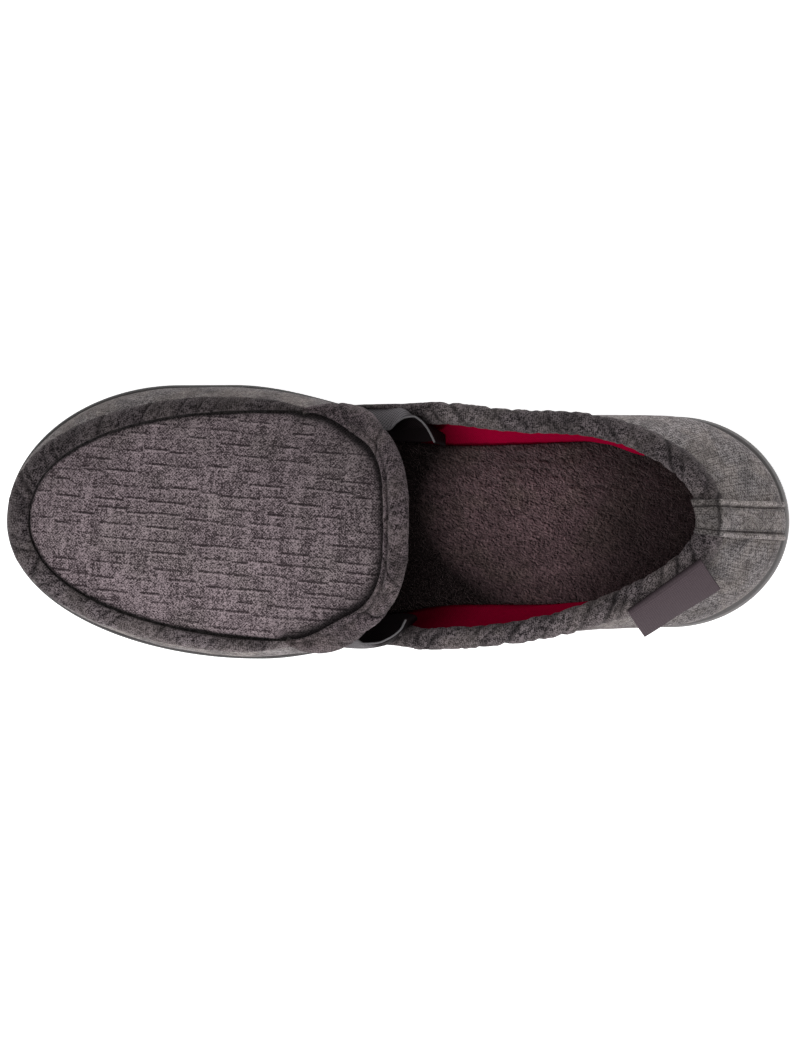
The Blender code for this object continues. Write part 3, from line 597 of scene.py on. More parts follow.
def column(table, name, at):
    """A table's column at a station: a monotone cubic through its rows."""
    place = np.array([row.at for row in table])
    value = np.array([getattr(row, name) for row in table])
    step = np.diff(place)
    slope = np.diff(value) / step
    product = slope[:-1] * slope[1:]
    total = slope[:-1] + slope[1:]
    inner = np.where(product > 0, 2 * product / np.where(product > 0, total, 1.0), 0.0)
    tangent = np.concatenate([slope[:1], inner, slope[-1:]])
    at = np.clip(at, place[0], place[-1])
    i = np.clip(np.searchsorted(place, at) - 1, 0, len(step) - 1)
    s = (at - place[i]) / step[i]
    rise = s * s * (3 - 2 * s)
    bend = step[i] * s * (1 - s) * (tangent[i] * (1 - s) - tangent[i + 1] * s)
    return value[i] * (1 - rise) + value[i + 1] * rise + bend


def linear(table, name, at):
    """A table's column at a station or turn: straight lines between its rows."""
    return np.interp(at, [row.at for row in table], [getattr(row, name) for row in table])


def sided(table, medial, at):
    """A table's medial or lateral column at stations, one row for each."""
    return np.where(medial, linear(table, "medial", at), linear(table, "lateral", at))[:, None]


def unit(vectors):
    """Vectors scaled to a length of 1."""
    return vectors / np.linalg.norm(vectors, axis=-1, keepdims=True)


def half_width(line, flank, at):
    """Half width of a plan line on one side of the axis."""
    heel_at = line.heel_end + flank.heel_arc
    heel = flank.heel * arc((heel_at - at) / flank.heel_arc, flank.heel_power)
    rear = ease(flank.heel, flank.waist, (at - heel_at) / (flank.waist_at - heel_at))
    front = ease(flank.waist, flank.ball, (at - flank.waist_at) / (flank.ball_from - flank.waist_at))
    toe = flank.ball * arc((at - flank.ball_to) / (line.toe_end - flank.ball_to), flank.toe_power)
    return np.select([at < heel_at, at < flank.waist_at, at < flank.ball_to], [heel, rear, front], toe)


def plan(line, turn):
    """Point of a plan line: turn 0 is the heel's back, 1 the toe's tip, the medial side in between."""
    turn = np.mod(turn, 2.0)
    share = 1.0 - np.abs(turn - 1.0)
    at = line.heel_end + (line.toe_end - line.heel_end) * (1.0 - np.cos(np.pi * share)) / 2.0
    medial = -half_width(line, line.medial, at)
    lateral = half_width(line, line.lateral, at)
    return np.stack([at, np.where(turn < 1.0, medial, lateral)], axis=-1)


def turn_at(line, at, medial):
    """The turn at which one side of a plan line passes a station."""
    share = np.arccos(1.0 - 2.0 * (at - line.heel_end) / (line.toe_end - line.heel_end)) / np.pi
    return share if medial else 2.0 - share


def outward(line, turn):
    """Unit vector in plan that points out of a plan line."""
    along = plan(line, turn + TURN_STEP) - plan(line, turn - TURN_STEP)
    return unit(np.stack([along[..., 1], -along[..., 0]], axis=-1))


def raised(flat, height):
    """Plan points at a height."""
    return np.concatenate([flat, np.broadcast_to(height, flat.shape[:-1])[..., None]], axis=-1)


def sole_underside(at):
    return column(SOLE_STATIONS, "lift", at)


def sole_top(at):
    return sole_underside(at) + column(SOLE_STATIONS, "thickness", at)


def wall(turn, rise):
    """Outer face of the upper's wall: rise 0 is its foot on the sole, 1 the top line."""
    top_plan = plan(TOP_LINE, turn)
    at = top_plan[..., 0]
    out = outward(SOLE_EDGE, turn)

    def handle(start, distance, climb):
        return start + raised(out * column(SECTIONS, distance, at)[..., None], climb)

    foot_plan = plan(SOLE_EDGE, turn) - out * column(SECTIONS, "inset", at)[..., None]
    foot = raised(foot_plan, sole_top(foot_plan[..., 0]) + GAP)
    top = raised(top_plan, column(SECTIONS, "height", at))
    low = handle(foot, "low_out", column(SECTIONS, "low_rise", at))
    high = handle(top, "high_out", -column(SECTIONS, "high_drop", at))
    v = np.asarray(rise, dtype=float)[..., None]
    w = 1.0 - v
    return w**3 * foot + 3 * w * w * v * low + 3 * w * v * v * high + v**3 * top


def wall_normal(turn, rise):
    along = wall(turn + TURN_STEP, rise) - wall(turn - TURN_STEP, rise)
    up = wall(turn, rise + TURN_STEP) - wall(turn, rise - TURN_STEP)
    return unit(np.cross(along, up))


def on_wall(turns, edge_rise, depth, offset):
    """Points at depths down the wall's face from its edge and offsets out of it: one row for each turn."""
    turns = np.atleast_1d(turns)
    samples = np.linspace(0.0, WALL_REACH, WALL_SAMPLES)
    length = run_length(wall(turns[:, None], samples[None, :]))
    depth = np.broadcast_to(depth, (len(turns), np.shape(depth)[-1]))
    rise = np.empty(depth.shape)
    for i, edge in enumerate(np.broadcast_to(edge_rise, len(turns))):
        start = np.interp(edge, samples, length[i])
        rise[i] = np.interp(start - depth[i], length[i], samples)
    offset = np.broadcast_to(offset, depth.shape)[..., None]
    return wall(turns[:, None], rise) + wall_normal(turns[:, None], rise) * offset


def plug_height(flat):
    """Height of the vamp's top over a plan point: the apron seam's height plus a crown."""
    at, across = flat[..., 0], flat[..., 1]
    medial = half_width(TOP_LINE, TOP_LINE.medial, at)
    lateral = half_width(TOP_LINE, TOP_LINE.lateral, at)
    share = np.abs(across) / np.maximum(np.where(across < 0, medial, lateral), 1.0)
    edge = column(SECTIONS, "height", at)
    return edge + (column(RIDGE, "height", at) - edge) * (1.0 - share**CROWN)


def plug_normal(flat):
    forward = plug_height(flat + (PLAN_STEP, 0.0)) - plug_height(flat - (PLAN_STEP, 0.0))
    sideways = plug_height(flat + (0.0, PLAN_STEP)) - plug_height(flat - (0.0, PLAN_STEP))
    return unit(np.stack([-forward, -sideways, np.full_like(forward, 2 * PLAN_STEP)], axis=-1))


def on_plug(flat, offset):
    """Point over a plan point of the vamp's top, at an offset out of its face."""
    offset = np.broadcast_to(offset, flat.shape[:-1])
    return raised(flat, plug_height(flat)) + plug_normal(flat) * offset[..., None]


def throat(count):
    """Plan points of the throat's edge, evenly spaced from the medial corner to the lateral one."""
    angle = np.linspace(-np.pi / 2, np.pi / 2, FINE_SAMPLES)
    power = 2.0 / THROAT_SQUARENESS
    medial, lateral = (plan(TOP_LINE, turn) for turn in seam_ends())
    corner = np.where((angle < 0)[:, None], medial, lateral)
    across = np.abs(np.sin(angle)) ** power * corner[:, 1]
    at = THROAT_AT + (corner[:, 0] - THROAT_AT) * (1.0 - np.abs(np.cos(angle)) ** power)
    return evenly(np.stack([at, across], axis=-1), count)


def seam_ends():
    """Turns of the throat's medial and lateral corners, where the apron seam ends."""
    return turn_at(TOP_LINE, MEDIAL_NOTCH.corner_at, True), turn_at(TOP_LINE, LATERAL_NOTCH.corner_at, False)


def notch_rise(notch, at):
    """Rise of the wall's upper edge near a gore notch."""
    slope = ease(1.0, notch.bottom_rise, (at - notch.slope_at) / (notch.bottom_at - notch.slope_at))
    climb = ease(notch.bottom_rise, 1.0, (at - notch.bottom_at) / (notch.corner_at - notch.bottom_at))
    return np.where(at < notch.bottom_at, slope, climb)


def edge_rises(turns):
    """Rise of the wall's upper edge: the collar, the notches or the apron seam."""
    at = plan(TOP_LINE, turns)[..., 0]
    medial = np.mod(turns, 2.0) < 1.0
    return np.where(medial, notch_rise(MEDIAL_NOTCH, at), notch_rise(LATERAL_NOTCH, at))


def to_frame(points):
    """Stations and millimetres to the frame's metres."""
    return (np.asarray(points) - (SOLE_LENGTH / 2.0, 0.0, 0.0)) * MM


# Lines and random fields
def run_length(points):
    """Length along each line of points up to each of them. A line runs along the last axis but one."""
    step = np.linalg.norm(np.diff(points, axis=-2), axis=-1)
    return np.concatenate([np.zeros((*step.shape[:-1], 1)), np.cumsum(step, axis=-1)], axis=-1)


def evenly(line, count):
    """A line's points, evenly spaced along it."""
    length = run_length(line)
    even = np.linspace(0.0, length[-1], count)
    return np.stack([np.interp(even, length, values) for values in line.T], axis=-1)


def even_turns(start, end, count):
    """Turns from start to end, evenly spaced along the top line, and the lengths to them."""
    fine = np.linspace(start, end, FINE_SAMPLES)
    length = run_length(plan(TOP_LINE, fine))
    even = np.linspace(0.0, length[-1], count)
    return np.interp(even, length, fine), even


def spline(points, count):
    """A smooth open curve through points."""
    points = np.asarray(points, dtype=float)
    padded = np.concatenate([2 * points[:1] - points[1:2], points, 2 * points[-1:] - points[-2:-1]])
    place = np.linspace(0.0, len(points) - 1.0, count)
    i = np.minimum(place.astype(int), len(points) - 2)
    s = (place - i)[:, None]
    a, b, c, d = (padded[i + k] for k in range(4))
    return b + 0.5 * s * (c - a + s * (2 * a - 5 * b + 4 * c - d + s * (3 * (b - c) + d - a)))


def lattice(cells, seed):
    """A repeatable random value from 0 to 1 for each cell of a grid."""
    mixed = cells.astype(np.int64) @ np.array(HASH_WEIGHTS[: cells.shape[-1]]) + seed * HASH_SEED
    for shift, factor in HASH_STEPS:
        mixed = (mixed ^ (mixed >> shift)) * factor
    return ((mixed ^ (mixed >> HASH_SHIFT)) & HASH_MASK) / HASH_MASK


def noise(points, size, seed):
    """A smooth random field from -1 to 1 with features of about a size in millimetres."""
    scaled = np.asarray(points) / size
    low = np.floor(scaled)
    part = ease(0.0, 1.0, scaled - low)
    total = np.zeros(scaled.shape[:-1])
    for corner in np.ndindex(*(2,) * scaled.shape[-1]):
        weight = np.prod(np.where(np.array(corner, dtype=bool), part, 1.0 - part), axis=-1)
        total += weight * lattice(low + corner, seed)
    return 2.0 * total - 1.0


def ripple(points, *waves):
    """Sum of smooth random fields."""
    return sum(wave.amount * noise(points, wave.size, wave.seed) for wave in waves)


def bell(distance, reach):
    """1 at no distance, falling smoothly to 0 beyond a reach."""
    return np.exp(-((distance / reach) ** 2))


def faded(distance, fade):
    """A fade's amount at no distance, falling smoothly to 0 beyond its reach."""
    return fade.amount * bell(distance, fade.reach)


def creases(along, across, creasing):
    """Narrow slanting creases at uneven intervals: 1 at the bottom of the deepest, 0 between them."""
    chance = np.random.default_rng(creasing.seed)
    slanted = along + creasing.skew * across
    count = int(np.ptp(slanted) / creasing.spacing) + SPARE_CREASES
    steps = chance.uniform(*CREASE_STEPS, count) * creasing.spacing
    places = slanted.min() - creasing.spacing + np.cumsum(steps)
    strength = chance.uniform(*CREASE_STRENGTHS, count)
    after = np.clip(np.searchsorted(places, slanted), 1, count - 1)
    nearest = np.where(slanted - places[after - 1] < places[after] - slanted, after - 1, after)
    return strength[nearest] * bell(slanted - places[nearest], creasing.width)


def tucked(fold, along, around, tucks, places, middle):
    """Creases with tucks added at places along a strip, each slanting about its middle line."""
    for tuck, place in zip(tucks, places):
        slant = along - place + tuck.skew * (around - middle)
        fold = np.maximum(fold, tuck.depth * bell(slant, TUCK_WIDTH))
    return fold


def padding(along, around, pad):
    """How loosely a padded strip lies, from about -1 to 1, and how far it swells with its nap."""
    surface = np.stack([along, around], axis=-1)
    loose = noise(surface, pad.loose_size, pad.seed + 1) + 0.5 * noise(surface, pad.fine_size, pad.seed + 2)
    return loose, pad.swell * loose + pad.nap * noise(surface, NAP_SIZE, pad.seed + 3)


# Mesh functions
def numbered(height, width, first=0):
    """Point numbers of a grid."""
    return first + np.arange(height * width).reshape(height, width)


def closed(number, axis):
    """Point numbers of a grid, with its first line again after its last."""
    return np.concatenate([number, np.take(number, [0], axis)], axis)


def quads(number):
    """Corner numbers of the quads of a grid of point numbers."""
    corners = [number[:-1, :-1], number[1:, :-1], number[1:, 1:], number[:-1, 1:]]
    return np.stack(corners, axis=-1).reshape(-1, 4)


def strip(first, second):
    """Quads between two lines of point numbers."""
    return quads(np.stack([first, second], axis=1))


def fan(tip, line):
    """Triangles from one point number to a line of them."""
    return np.stack([np.full(len(line) - 1, tip), line[:-1], line[1:]], axis=-1)


def tube_faces(count, size):
    """Faces of a tube through closed sections, with a fan at each end to one of two last points."""
    ring = closed(numbered(count, size), 1)
    tip = count * size
    return [quads(ring), np.concatenate([fan(tip, ring[0]), fan(tip + 1, ring[-1][::-1])])]


def facing_out(points, faces):
    """Face arrays of a closed piece, turned outward by the sign of its volume."""
    volume = 0.0
    for part in faces:
        for i in range(1, part.shape[1] - 1):
            first, second, third = (points[part[:, k]] for k in (0, i, i + 1))
            volume += np.sum(first * np.cross(second, third))
    return faces if volume > 0.0 else [part[:, ::-1] for part in faces]


def add_piece(name, points, faces, material, fields=None):
    """An object from points in millimetres, a list of face arrays and named values at its points."""
    mesh = bpy.data.meshes.new(name)
    places = to_frame(np.asarray(points).reshape(-1, 3))
    faces = facing_out(places, faces)
    mesh.vertices.add(len(places))
    mesh.vertices.foreach_set("co", places.astype(np.float32).ravel())
    corners = np.concatenate([part.ravel() for part in faces]).astype(np.int32)
    sizes = np.concatenate([np.full(len(part), part.shape[1]) for part in faces])
    starts = np.concatenate([[0], np.cumsum(sizes)[:-1]]).astype(np.int32)
    mesh.loops.add(len(corners))
    mesh.loops.foreach_set("vertex_index", corners)
    mesh.polygons.add(len(starts))
    mesh.polygons.foreach_set("loop_start", starts)
    mesh.update(calc_edges=True)
    for field, values in (fields or {}).items():
        values = np.asarray(values, dtype=np.float32).ravel()
        kind, key = ("FLOAT_VECTOR", "vector") if values.size == 3 * len(places) else ("FLOAT", "value")
        mesh.attributes.new(field, kind, "POINT").data.foreach_set(key, values)
    mesh.shade_smooth()
    mesh.materials.append(material)
    piece = bpy.data.objects.new(name, mesh)
    bpy.context.scene.collection.objects.link(piece)
    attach(piece, "root")
    return piece


def add_tube(name, sections, material, fields=None):
    """A closed piece through a row of closed sections, with a fan over each end."""

    def with_tips(values):
        values = np.asarray(values)
        flat = values.reshape(values.shape[0] * values.shape[1], -1)
        return np.concatenate([flat, values[[0, -1]].mean(axis=1).reshape(2, -1)])

    whole = {field: with_tips(values) for field, values in (fields or {}).items()}
    return add_piece(name, with_tips(sections), tube_faces(*sections.shape[:2]), material, whole)


def add_shell(name, outer, inner, material, fields, wrap=False):
    """A closed sheet between two grids of points, with a rim along its edges."""
    number = numbered(*outer.shape[:2])
    count = number.size
    if wrap:
        number = closed(number, 0)
    faces = [quads(number), quads(number + count)[:, ::-1]]
    rims = [(number[:, -1], 1), (number[:, 0], -1)]
    if not wrap:
        rims += [(number[0], 1), (number[-1], -1)]
    faces += [strip(line, line + count)[:, ::order] for line, order in rims]
    whole = {field: np.concatenate([values, values]) for field, values in fields.items()}
    return add_piece(name, np.concatenate([outer, inner]), faces, material, whole)


def add_cover(name, top, under, material, fields):
    """A cover with a fine top and a coarse underside, joined along its two long edges."""
    number = numbered(*top.shape[:2])
    low = numbered(*under.shape[:2], first=number.size)
    faces = [quads(number), quads(low)[:, ::-1]]
    faces += [strip(number[:, 0], low[:, 0])[:, ::-1], strip(number[:, -1], low[:, -1])]
    points = np.concatenate([top.reshape(-1, 3), under.reshape(-1, 3)])
    whole = {field: np.concatenate([values.ravel(), np.zeros(low.size)]) for field, values in fields.items()}
    return add_piece(name, points, faces, material, whole)


def woven(along, up):
    """Place of each point on its flat cloth, for the weave."""
    return np.stack([along, up, np.zeros_like(up)], axis=-1)


# Materials
class Shader:
    """One material's node tree, with short calls for the nodes that the cloths share."""

    def __init__(self, name, roughness, specular, sheen=0.0, tint=WHITE):
        self.material = bpy.data.materials.new(name)
        self.material.use_nodes = True
        self.tree = self.material.node_tree
        self.surface = self.tree.nodes["Principled BSDF"].inputs
        self.surface["Roughness"].default_value = roughness
        self.surface["Specular IOR Level"].default_value = specular
        self.surface["Sheen Weight"].default_value = sheen
        self.surface["Sheen Roughness"].default_value = SHEEN_ROUGHNESS
        self.surface["Sheen Tint"].default_value = (*tint, 1.0)
        place = self.node("ShaderNodeTexCoord").outputs["Object"]
        self.place = self.vector("MULTIPLY", place, (1 / MM,) * 3)

    def join(self, value, socket):
        if isinstance(value, bpy.types.NodeSocket):
            self.tree.links.new(value, socket)
        else:
            socket.default_value = value

    def node(self, kind, inputs=None, **settings):
        """A node with its settings, its inputs set to values or joined to other nodes' outputs."""
        made = self.tree.nodes.new(kind)
        for key, value in settings.items():
            setattr(made, key, value)
        for key, value in (inputs or {}).items():
            self.join(value, made.inputs[key])
        return made

    def vector(self, operation, first, second):
        return self.node("ShaderNodeVectorMath", {0: first, 1: second}, operation=operation).outputs[0]

    def turn(self, place, degrees):
        inputs = {"Vector": place, "Angle": np.radians(degrees)}
        return self.node("ShaderNodeVectorRotate", inputs, rotation_type="Z_AXIS").outputs[0]

    def field(self, name, output="Fac"):
        return self.node("ShaderNodeAttribute", attribute_name=name).outputs[output]

    def noise(self, place, scale, detail=2.0, roughness=0.5, distortion=0.0):
        inputs = {"Vector": place, "Scale": scale, "Detail": detail}
        inputs |= {"Roughness": roughness, "Distortion": distortion}
        return self.node("ShaderNodeTexNoise", inputs).outputs["Fac"]

    def flecks(self, scale):
        """A random value from 0 to 1 for each small cell."""
        cells = self.node("ShaderNodeTexVoronoi", {"Vector": self.place, "Scale": scale}).outputs["Color"]
        return self.node("ShaderNodeSeparateColor", {"Color": cells}).outputs["Red"]

    def wave(self, place, period, distortion=0.0, direction="X"):
        """Threads side by side, a period apart, from 0 to 1."""
        inputs = {"Vector": place, "Scale": WAVE_PERIOD / period, "Distortion": distortion, "Detail": 1.0}
        return self.node("ShaderNodeTexWave", inputs, bands_direction=direction).outputs["Fac"]

    def weave(self, place, period):
        """Dots where two sets of slanting threads cross, from 0 to 1."""
        turned = [self.turn(place, slant) for slant in THREAD_SLANTS]
        return self.math("MULTIPLY", *(self.wave(way, period, distortion=THREAD_WANDER) for way in turned))

    def math(self, operation, first, second, clamp=False):
        inputs = {0: first, 1: second}
        return self.node("ShaderNodeMath", inputs, operation=operation, use_clamp=clamp).outputs[0]

    def total(self, *terms, clamp=False):
        """Sum of values, each whole or in a pair with its share."""
        parts = [self.math("MULTIPLY", *term) if isinstance(term, tuple) else term for term in terms]
        whole = parts[0]
        for i, part in enumerate(parts[1:], start=2):
            whole = self.math("ADD", whole, part, clamp=clamp and i == len(parts))
        return whole

    def remap(self, value, low, high, to_low=0.0, to_high=1.0):
        inputs = {"Value": value, "From Min": low, "From Max": high, "To Min": to_low, "To Max": to_high}
        return self.node("ShaderNodeMapRange", inputs).outputs["Result"]

    def mix(self, share, first, second):
        first, second = ((*tone, 1.0) if isinstance(tone, tuple) else tone for tone in (first, second))
        return self.node("ShaderNodeMix", {0: share, 6: first, 7: second}, data_type="RGBA").outputs[2]

    def shaded(self, colour):
        """A colour darkened by the field shade."""
        return self.mix(self.field("shade"), colour, BLACK)

    def dressed(self, colour, height, strength, distance):
        """The material with its colour and a bump from a height."""
        inputs = {"Height": height, "Strength": strength, "Distance": distance * MM}
        self.join(self.node("ShaderNodeBump", inputs).outputs["Normal"], self.surface["Normal"])
        self.join(colour, self.surface["Base Color"])
        return self.material


def napped_cloth(look):
    """Short-napped flecked cloth: the field shade holds its painted shade, and ribs run along its second
    axis.
    """
    shader = Shader(look.name, roughness=0.95, specular=0.06, sheen=0.12, tint=CLOTH_SHEEN)
    cloth = shader.field("cloth", "Vector")
    dots = shader.weave(cloth, 0.9)
    fleck = shader.flecks(2.5)
    mottle = shader.noise(shader.place, 0.6, detail=4.0, roughness=0.75)
    streak = shader.noise(shader.vector("MULTIPLY", cloth, STREAK_STRETCH), 1.0)
    layers = {"dots": dots, "fleck": fleck, "mottle": mottle, "streak": streak}
    tones = [shader.remap(layers[row.layer], *row[1:]) for row in NAP_TONES]
    relief = [dots, (fleck, 0.5)]
    if look.rib_share:
        wear_and_shade = shader.remap(shader.noise(shader.place, RIB_WEAR_SCALE), *RIB_WEAR_SPREAD)
        lines = shader.vector("MULTIPLY", cloth, RIB_STRETCH)
        cords = shader.wave(lines, look.rib_period, distortion=RIB_WANDER)
        ribs = shader.math("MULTIPLY", shader.remap(cords, *RIB_SPREAD), wear_and_shade)
        tones.append((ribs, look.rib_share))
        relief.append((ribs, 0.6))
    share = shader.total(*tones, clamp=True)
    base = shader.mix(share, look.dark, look.light)
    patch = shader.remap(shader.noise(shader.place, 0.065, detail=3.0, roughness=0.6), 0.44, 0.60, 0.0, 0.35)
    taupe = Tones(tuple(TAUPE_DARK * part for part in look.taupe), look.taupe)
    base = shader.mix(patch, base, shader.mix(share, *taupe))
    dim = shader.remap(shader.noise(shader.place, 0.11, detail=3.0, roughness=0.6), 0.48, 0.62, 0.0, 0.35)
    return shader.dressed(shader.shaded(shader.mix(dim, base, BLACK)), shader.total(*relief), 0.6, 0.4)


def plug_cloth():
    """The apron's flecked velour: the fields dash, tone and dots hold its pressed pattern, and shade its
    painted shade.
    """
    shader = Shader("plug_cloth", roughness=0.95, specular=0.06, sheen=0.10, tint=CLOTH_SHEEN)
    dots = shader.weave(shader.place, 0.85)
    fleck = shader.flecks(2.9)
    mottle = shader.noise(shader.place, 0.75, detail=4.0, roughness=0.75)
    beads = shader.remap(shader.wave(shader.place, 1.3, distortion=0.6, direction="Y"), 0.3, 0.8)
    pits = shader.math("MULTIPLY", shader.math("MULTIPLY", beads, shader.field("dots")), PIT_TONE)
    layers = {"dots": dots, "fleck": fleck, "mottle": mottle}
    # The field dash paints each pressed line darker, partly painted shade, with a painted highlight beside it
    share = shader.total(
        *(shader.remap(layers[row.layer], *row[1:]) for row in PLUG_TONES),
        pits,
        (shader.field("tone"), 0.17),
        (shader.field("dash"), 1.1),
        clamp=True,
    )
    patch = shader.remap(shader.noise(shader.place, 0.05), 0.45, 0.62, 0.0, 0.25)
    base = shader.mix(patch, shader.mix(share, *PLUG_MAUVE), shader.mix(share, *PLUG_TAUPE))
    return shader.dressed(shader.shaded(base), shader.total(dots, (fleck, 0.5), (pits, 0.6)), 0.6, 0.4)


def plush_material():
    """Plush pile with painted light on its curls and loop crowns, and painted shade from the field shade."""
    shader = Shader("plush", roughness=1.0, specular=0.03, sheen=0.2, tint=PLUSH_SHEEN)
    root = shader.vector("MULTIPLY", shader.turn(shader.place, PILE_SLANT), PILE_STRETCH)
    # Painted light: subtracting two samples of one noise a step apart paints each curl lit on one side,
    # shaded on the other
    ends = (root, shader.vector("ADD", root, PILE_LIGHT_STEP))
    lean = shader.math("SUBTRACT", *(shader.noise(end, 1.25, detail=1.0, distortion=0.8) for end in ends))
    curls = shader.remap(lean, -0.22, 0.22)
    fleck = shader.remap(shader.flecks(2.2), 0.0, 1.0, -0.12, 0.12)
    # The field tuft paints the loops' crowns lighter than their hollows: painted highlight and shade
    share = shader.total((curls, 0.84), (shader.field("tuft"), 0.10), fleck, clamp=True)
    patch = shader.remap(shader.noise(shader.place, 0.07), 0.46, 0.62, 0.0, 0.5)
    base = shader.mix(patch, shader.mix(share, *PLUSH_MAUVE), shader.mix(share, *PLUSH_OLIVE))
    return shader.dressed(shader.shaded(base), curls, 1.0, 0.9)


def lining_material():
    shader = Shader("lining", roughness=0.9, specular=0.0)
    grain = shader.noise(shader.place, 1.4)
    flat = shader.vector("MULTIPLY", shader.field("cloth", "Vector"), (1.0, 0.0, 0.0))
    share = shader.total((grain, 0.7), (shader.wave(flat, LINING_CORD), 0.3), clamp=True)
    return shader.dressed(shader.shaded(shader.mix(share, *LINING_CRIMSON)), share, 0.4, 0.25)


def webbing_material():
    """Elastic webbing: the field inside paints near-black shade on its inner face and in the collar's shadow.
    """
    shader = Shader("webbing", roughness=0.75, specular=0.08)
    turned = shader.turn(shader.field("cloth", "Vector"), WEBBING_SLANT)
    weave = shader.total((shader.wave(turned, 0.9), 0.75), (shader.wave(turned, 0.9, direction="Y"), 0.25))
    share = shader.total((weave, 0.75), (shader.noise(shader.place, 2.0), 0.25), clamp=True)
    colour = shader.mix(shader.field("inside"), shader.mix(share, *WEBBING_GREY), WEBBING_SHADOW)
    return shader.dressed(colour, weave, 0.7, 0.3)


def ribbon_material():
    shader = Shader("ribbon", roughness=0.85, specular=0.08)
    cloth = shader.field("cloth", "Vector")
    weave = shader.total((shader.wave(cloth, 0.8), 0.4), (shader.wave(cloth, 1.0, direction="Y"), 0.6))
    share = shader.total((weave, 0.5), (shader.noise(shader.place, 1.6), 0.5), clamp=True)
    return shader.dressed(shader.shaded(shader.mix(share, *RIBBON_GREY)), weave, 0.5, 0.2)


def rubber_material():
    """Moulded rubber, with painted shade along the upper rim, where it meets the wall, except at the heel."""
    shader = Shader("rubber", roughness=0.62, specular=0.2)
    grain = shader.noise(shader.place, 1.1, detail=4.0, roughness=0.65)
    share = shader.total((grain, 0.5), (shader.noise(shader.place, 0.05, detail=3.0), 0.5), clamp=True)
    axes = shader.node("ShaderNodeSeparateXYZ", {"Vector": shader.place}).outputs
    # Painted shade: a dark line along the upper rim, fading out towards the heel and a little deeper on the
    # lateral side
    rim = shader.math("MULTIPLY", shader.remap(axes["X"], -110.0, -40.0), shader.remap(axes["Z"], 8.5, 11.0))
    rim = shader.math("MULTIPLY", rim, shader.remap(axes["Y"], 15.0, 40.0, 0.60, 0.68))
    return shader.dressed(shader.mix(rim, shader.mix(share, *RUBBER_GREY), BLACK), grain, 0.25, 0.2)


def thread_material(name, tones):
    shader = Shader(name, roughness=0.75, specular=0.3, sheen=0.1)
    twist = shader.noise(shader.place, 4.0, detail=1.0)
    return shader.dressed(shader.mix(twist, *tones), twist, 0.3, 0.1)


def floor_material():
    shader = Shader("floor", roughness=0.9, specular=0.0)
    shader.join(shader.mix(shader.noise(shader.place, 0.02), *FLOOR_WHITE), shader.surface["Base Color"])
    shader.surface["Emission Color"].default_value = (*WHITE, 1.0)
    shader.surface["Emission Strength"].default_value = FLOOR_GLOW
    return shader.material


# Sole and footbed
def inset_line(turns, inset):
    """The sole's edge line moved in by an inset."""
    return plan(SOLE_EDGE, turns) - outward(SOLE_EDGE, turns) * inset


def toward_spine(turns, flat, share):
    """An inset line moved towards the sole's spine: share 1 leaves it, 0 puts it on the spine."""
    at = np.clip(plan(SOLE_EDGE, turns)[:, 0], SPINE_HEEL, SPINE_TOE)
    spine = np.stack([at, np.zeros_like(at)], axis=-1)
    return spine + (flat - spine) * share


def tread_cutter(material):
    """A row of boxes, one for each cross groove."""
    box = np.array([(x, y, z) for x in (-0.5, 0.5) for y in (-0.5, 0.5) for z in (-0.5, 0.5)])
    sides = np.array([(0, 1, 3, 2), (4, 6, 7, 5), (0, 4, 5, 1), (2, 3, 7, 6), (0, 2, 6, 4), (1, 5, 7, 3)])
    at = np.array(TREAD_GROOVES)
    height = sole_underside(at) + GROOVE_DEPTH - CUTTER_HEIGHT / 2.0
    middles = woven(at, height)[:, None, [0, 2, 1]]
    faces = sides + len(box) * np.arange(len(at))[:, None, None]
    points = box * (GROOVE_WIDTH, CUTTER_LENGTH, CUTTER_HEIGHT) + middles
    return add_piece("tread_cutter", points, [faces.reshape(-1, 4)], material)


def make_sole(material):
    """The moulded sole, with its cross grooves cut out of the underside."""
    turns = np.linspace(0.0, 2.0, SOLE_COLUMNS, endpoint=False)
    bottom, top = (inset_line(turns, SIDE_STEPS[i].inset) for i in (0, -1))
    rings = []
    for share in SOLE_RINGS:
        flat = toward_spine(turns, bottom, share)
        rings.append(raised(flat, sole_underside(flat[:, 0])))
    for step in SIDE_STEPS:
        flat = inset_line(turns, step.inset)
        low = sole_underside(flat[:, 0])
        rings.append(raised(flat, low + (sole_top(flat[:, 0]) - low) * step.share))
    for share in reversed(SOLE_RINGS):
        flat = toward_spine(turns, top, share)
        rings.append(raised(flat, sole_top(flat[:, 0])))
    faces = [quads(closed(numbered(len(rings), SOLE_COLUMNS), 1))]
    sole = add_piece("sole", np.stack(rings), faces, material)
    sole.modifiers.new("weld", "WELD").merge_threshold = WELD_REACH
    cutter = tread_cutter(material)
    cut = sole.modifiers.new("tread", "BOOLEAN")
    cut.operation = "DIFFERENCE"
    cut.object = cutter
    graph = bpy.context.evaluated_depsgraph_get()
    carved = bpy.data.meshes.new_from_object(sole.evaluated_get(graph))
    sole.modifiers.clear()
    sole.data = carved
    bpy.data.objects.remove(cutter)
    carved.shade_smooth()
    carved.set_sharp_from_angle(angle=SHARP_ANGLE)
    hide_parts("outsole")


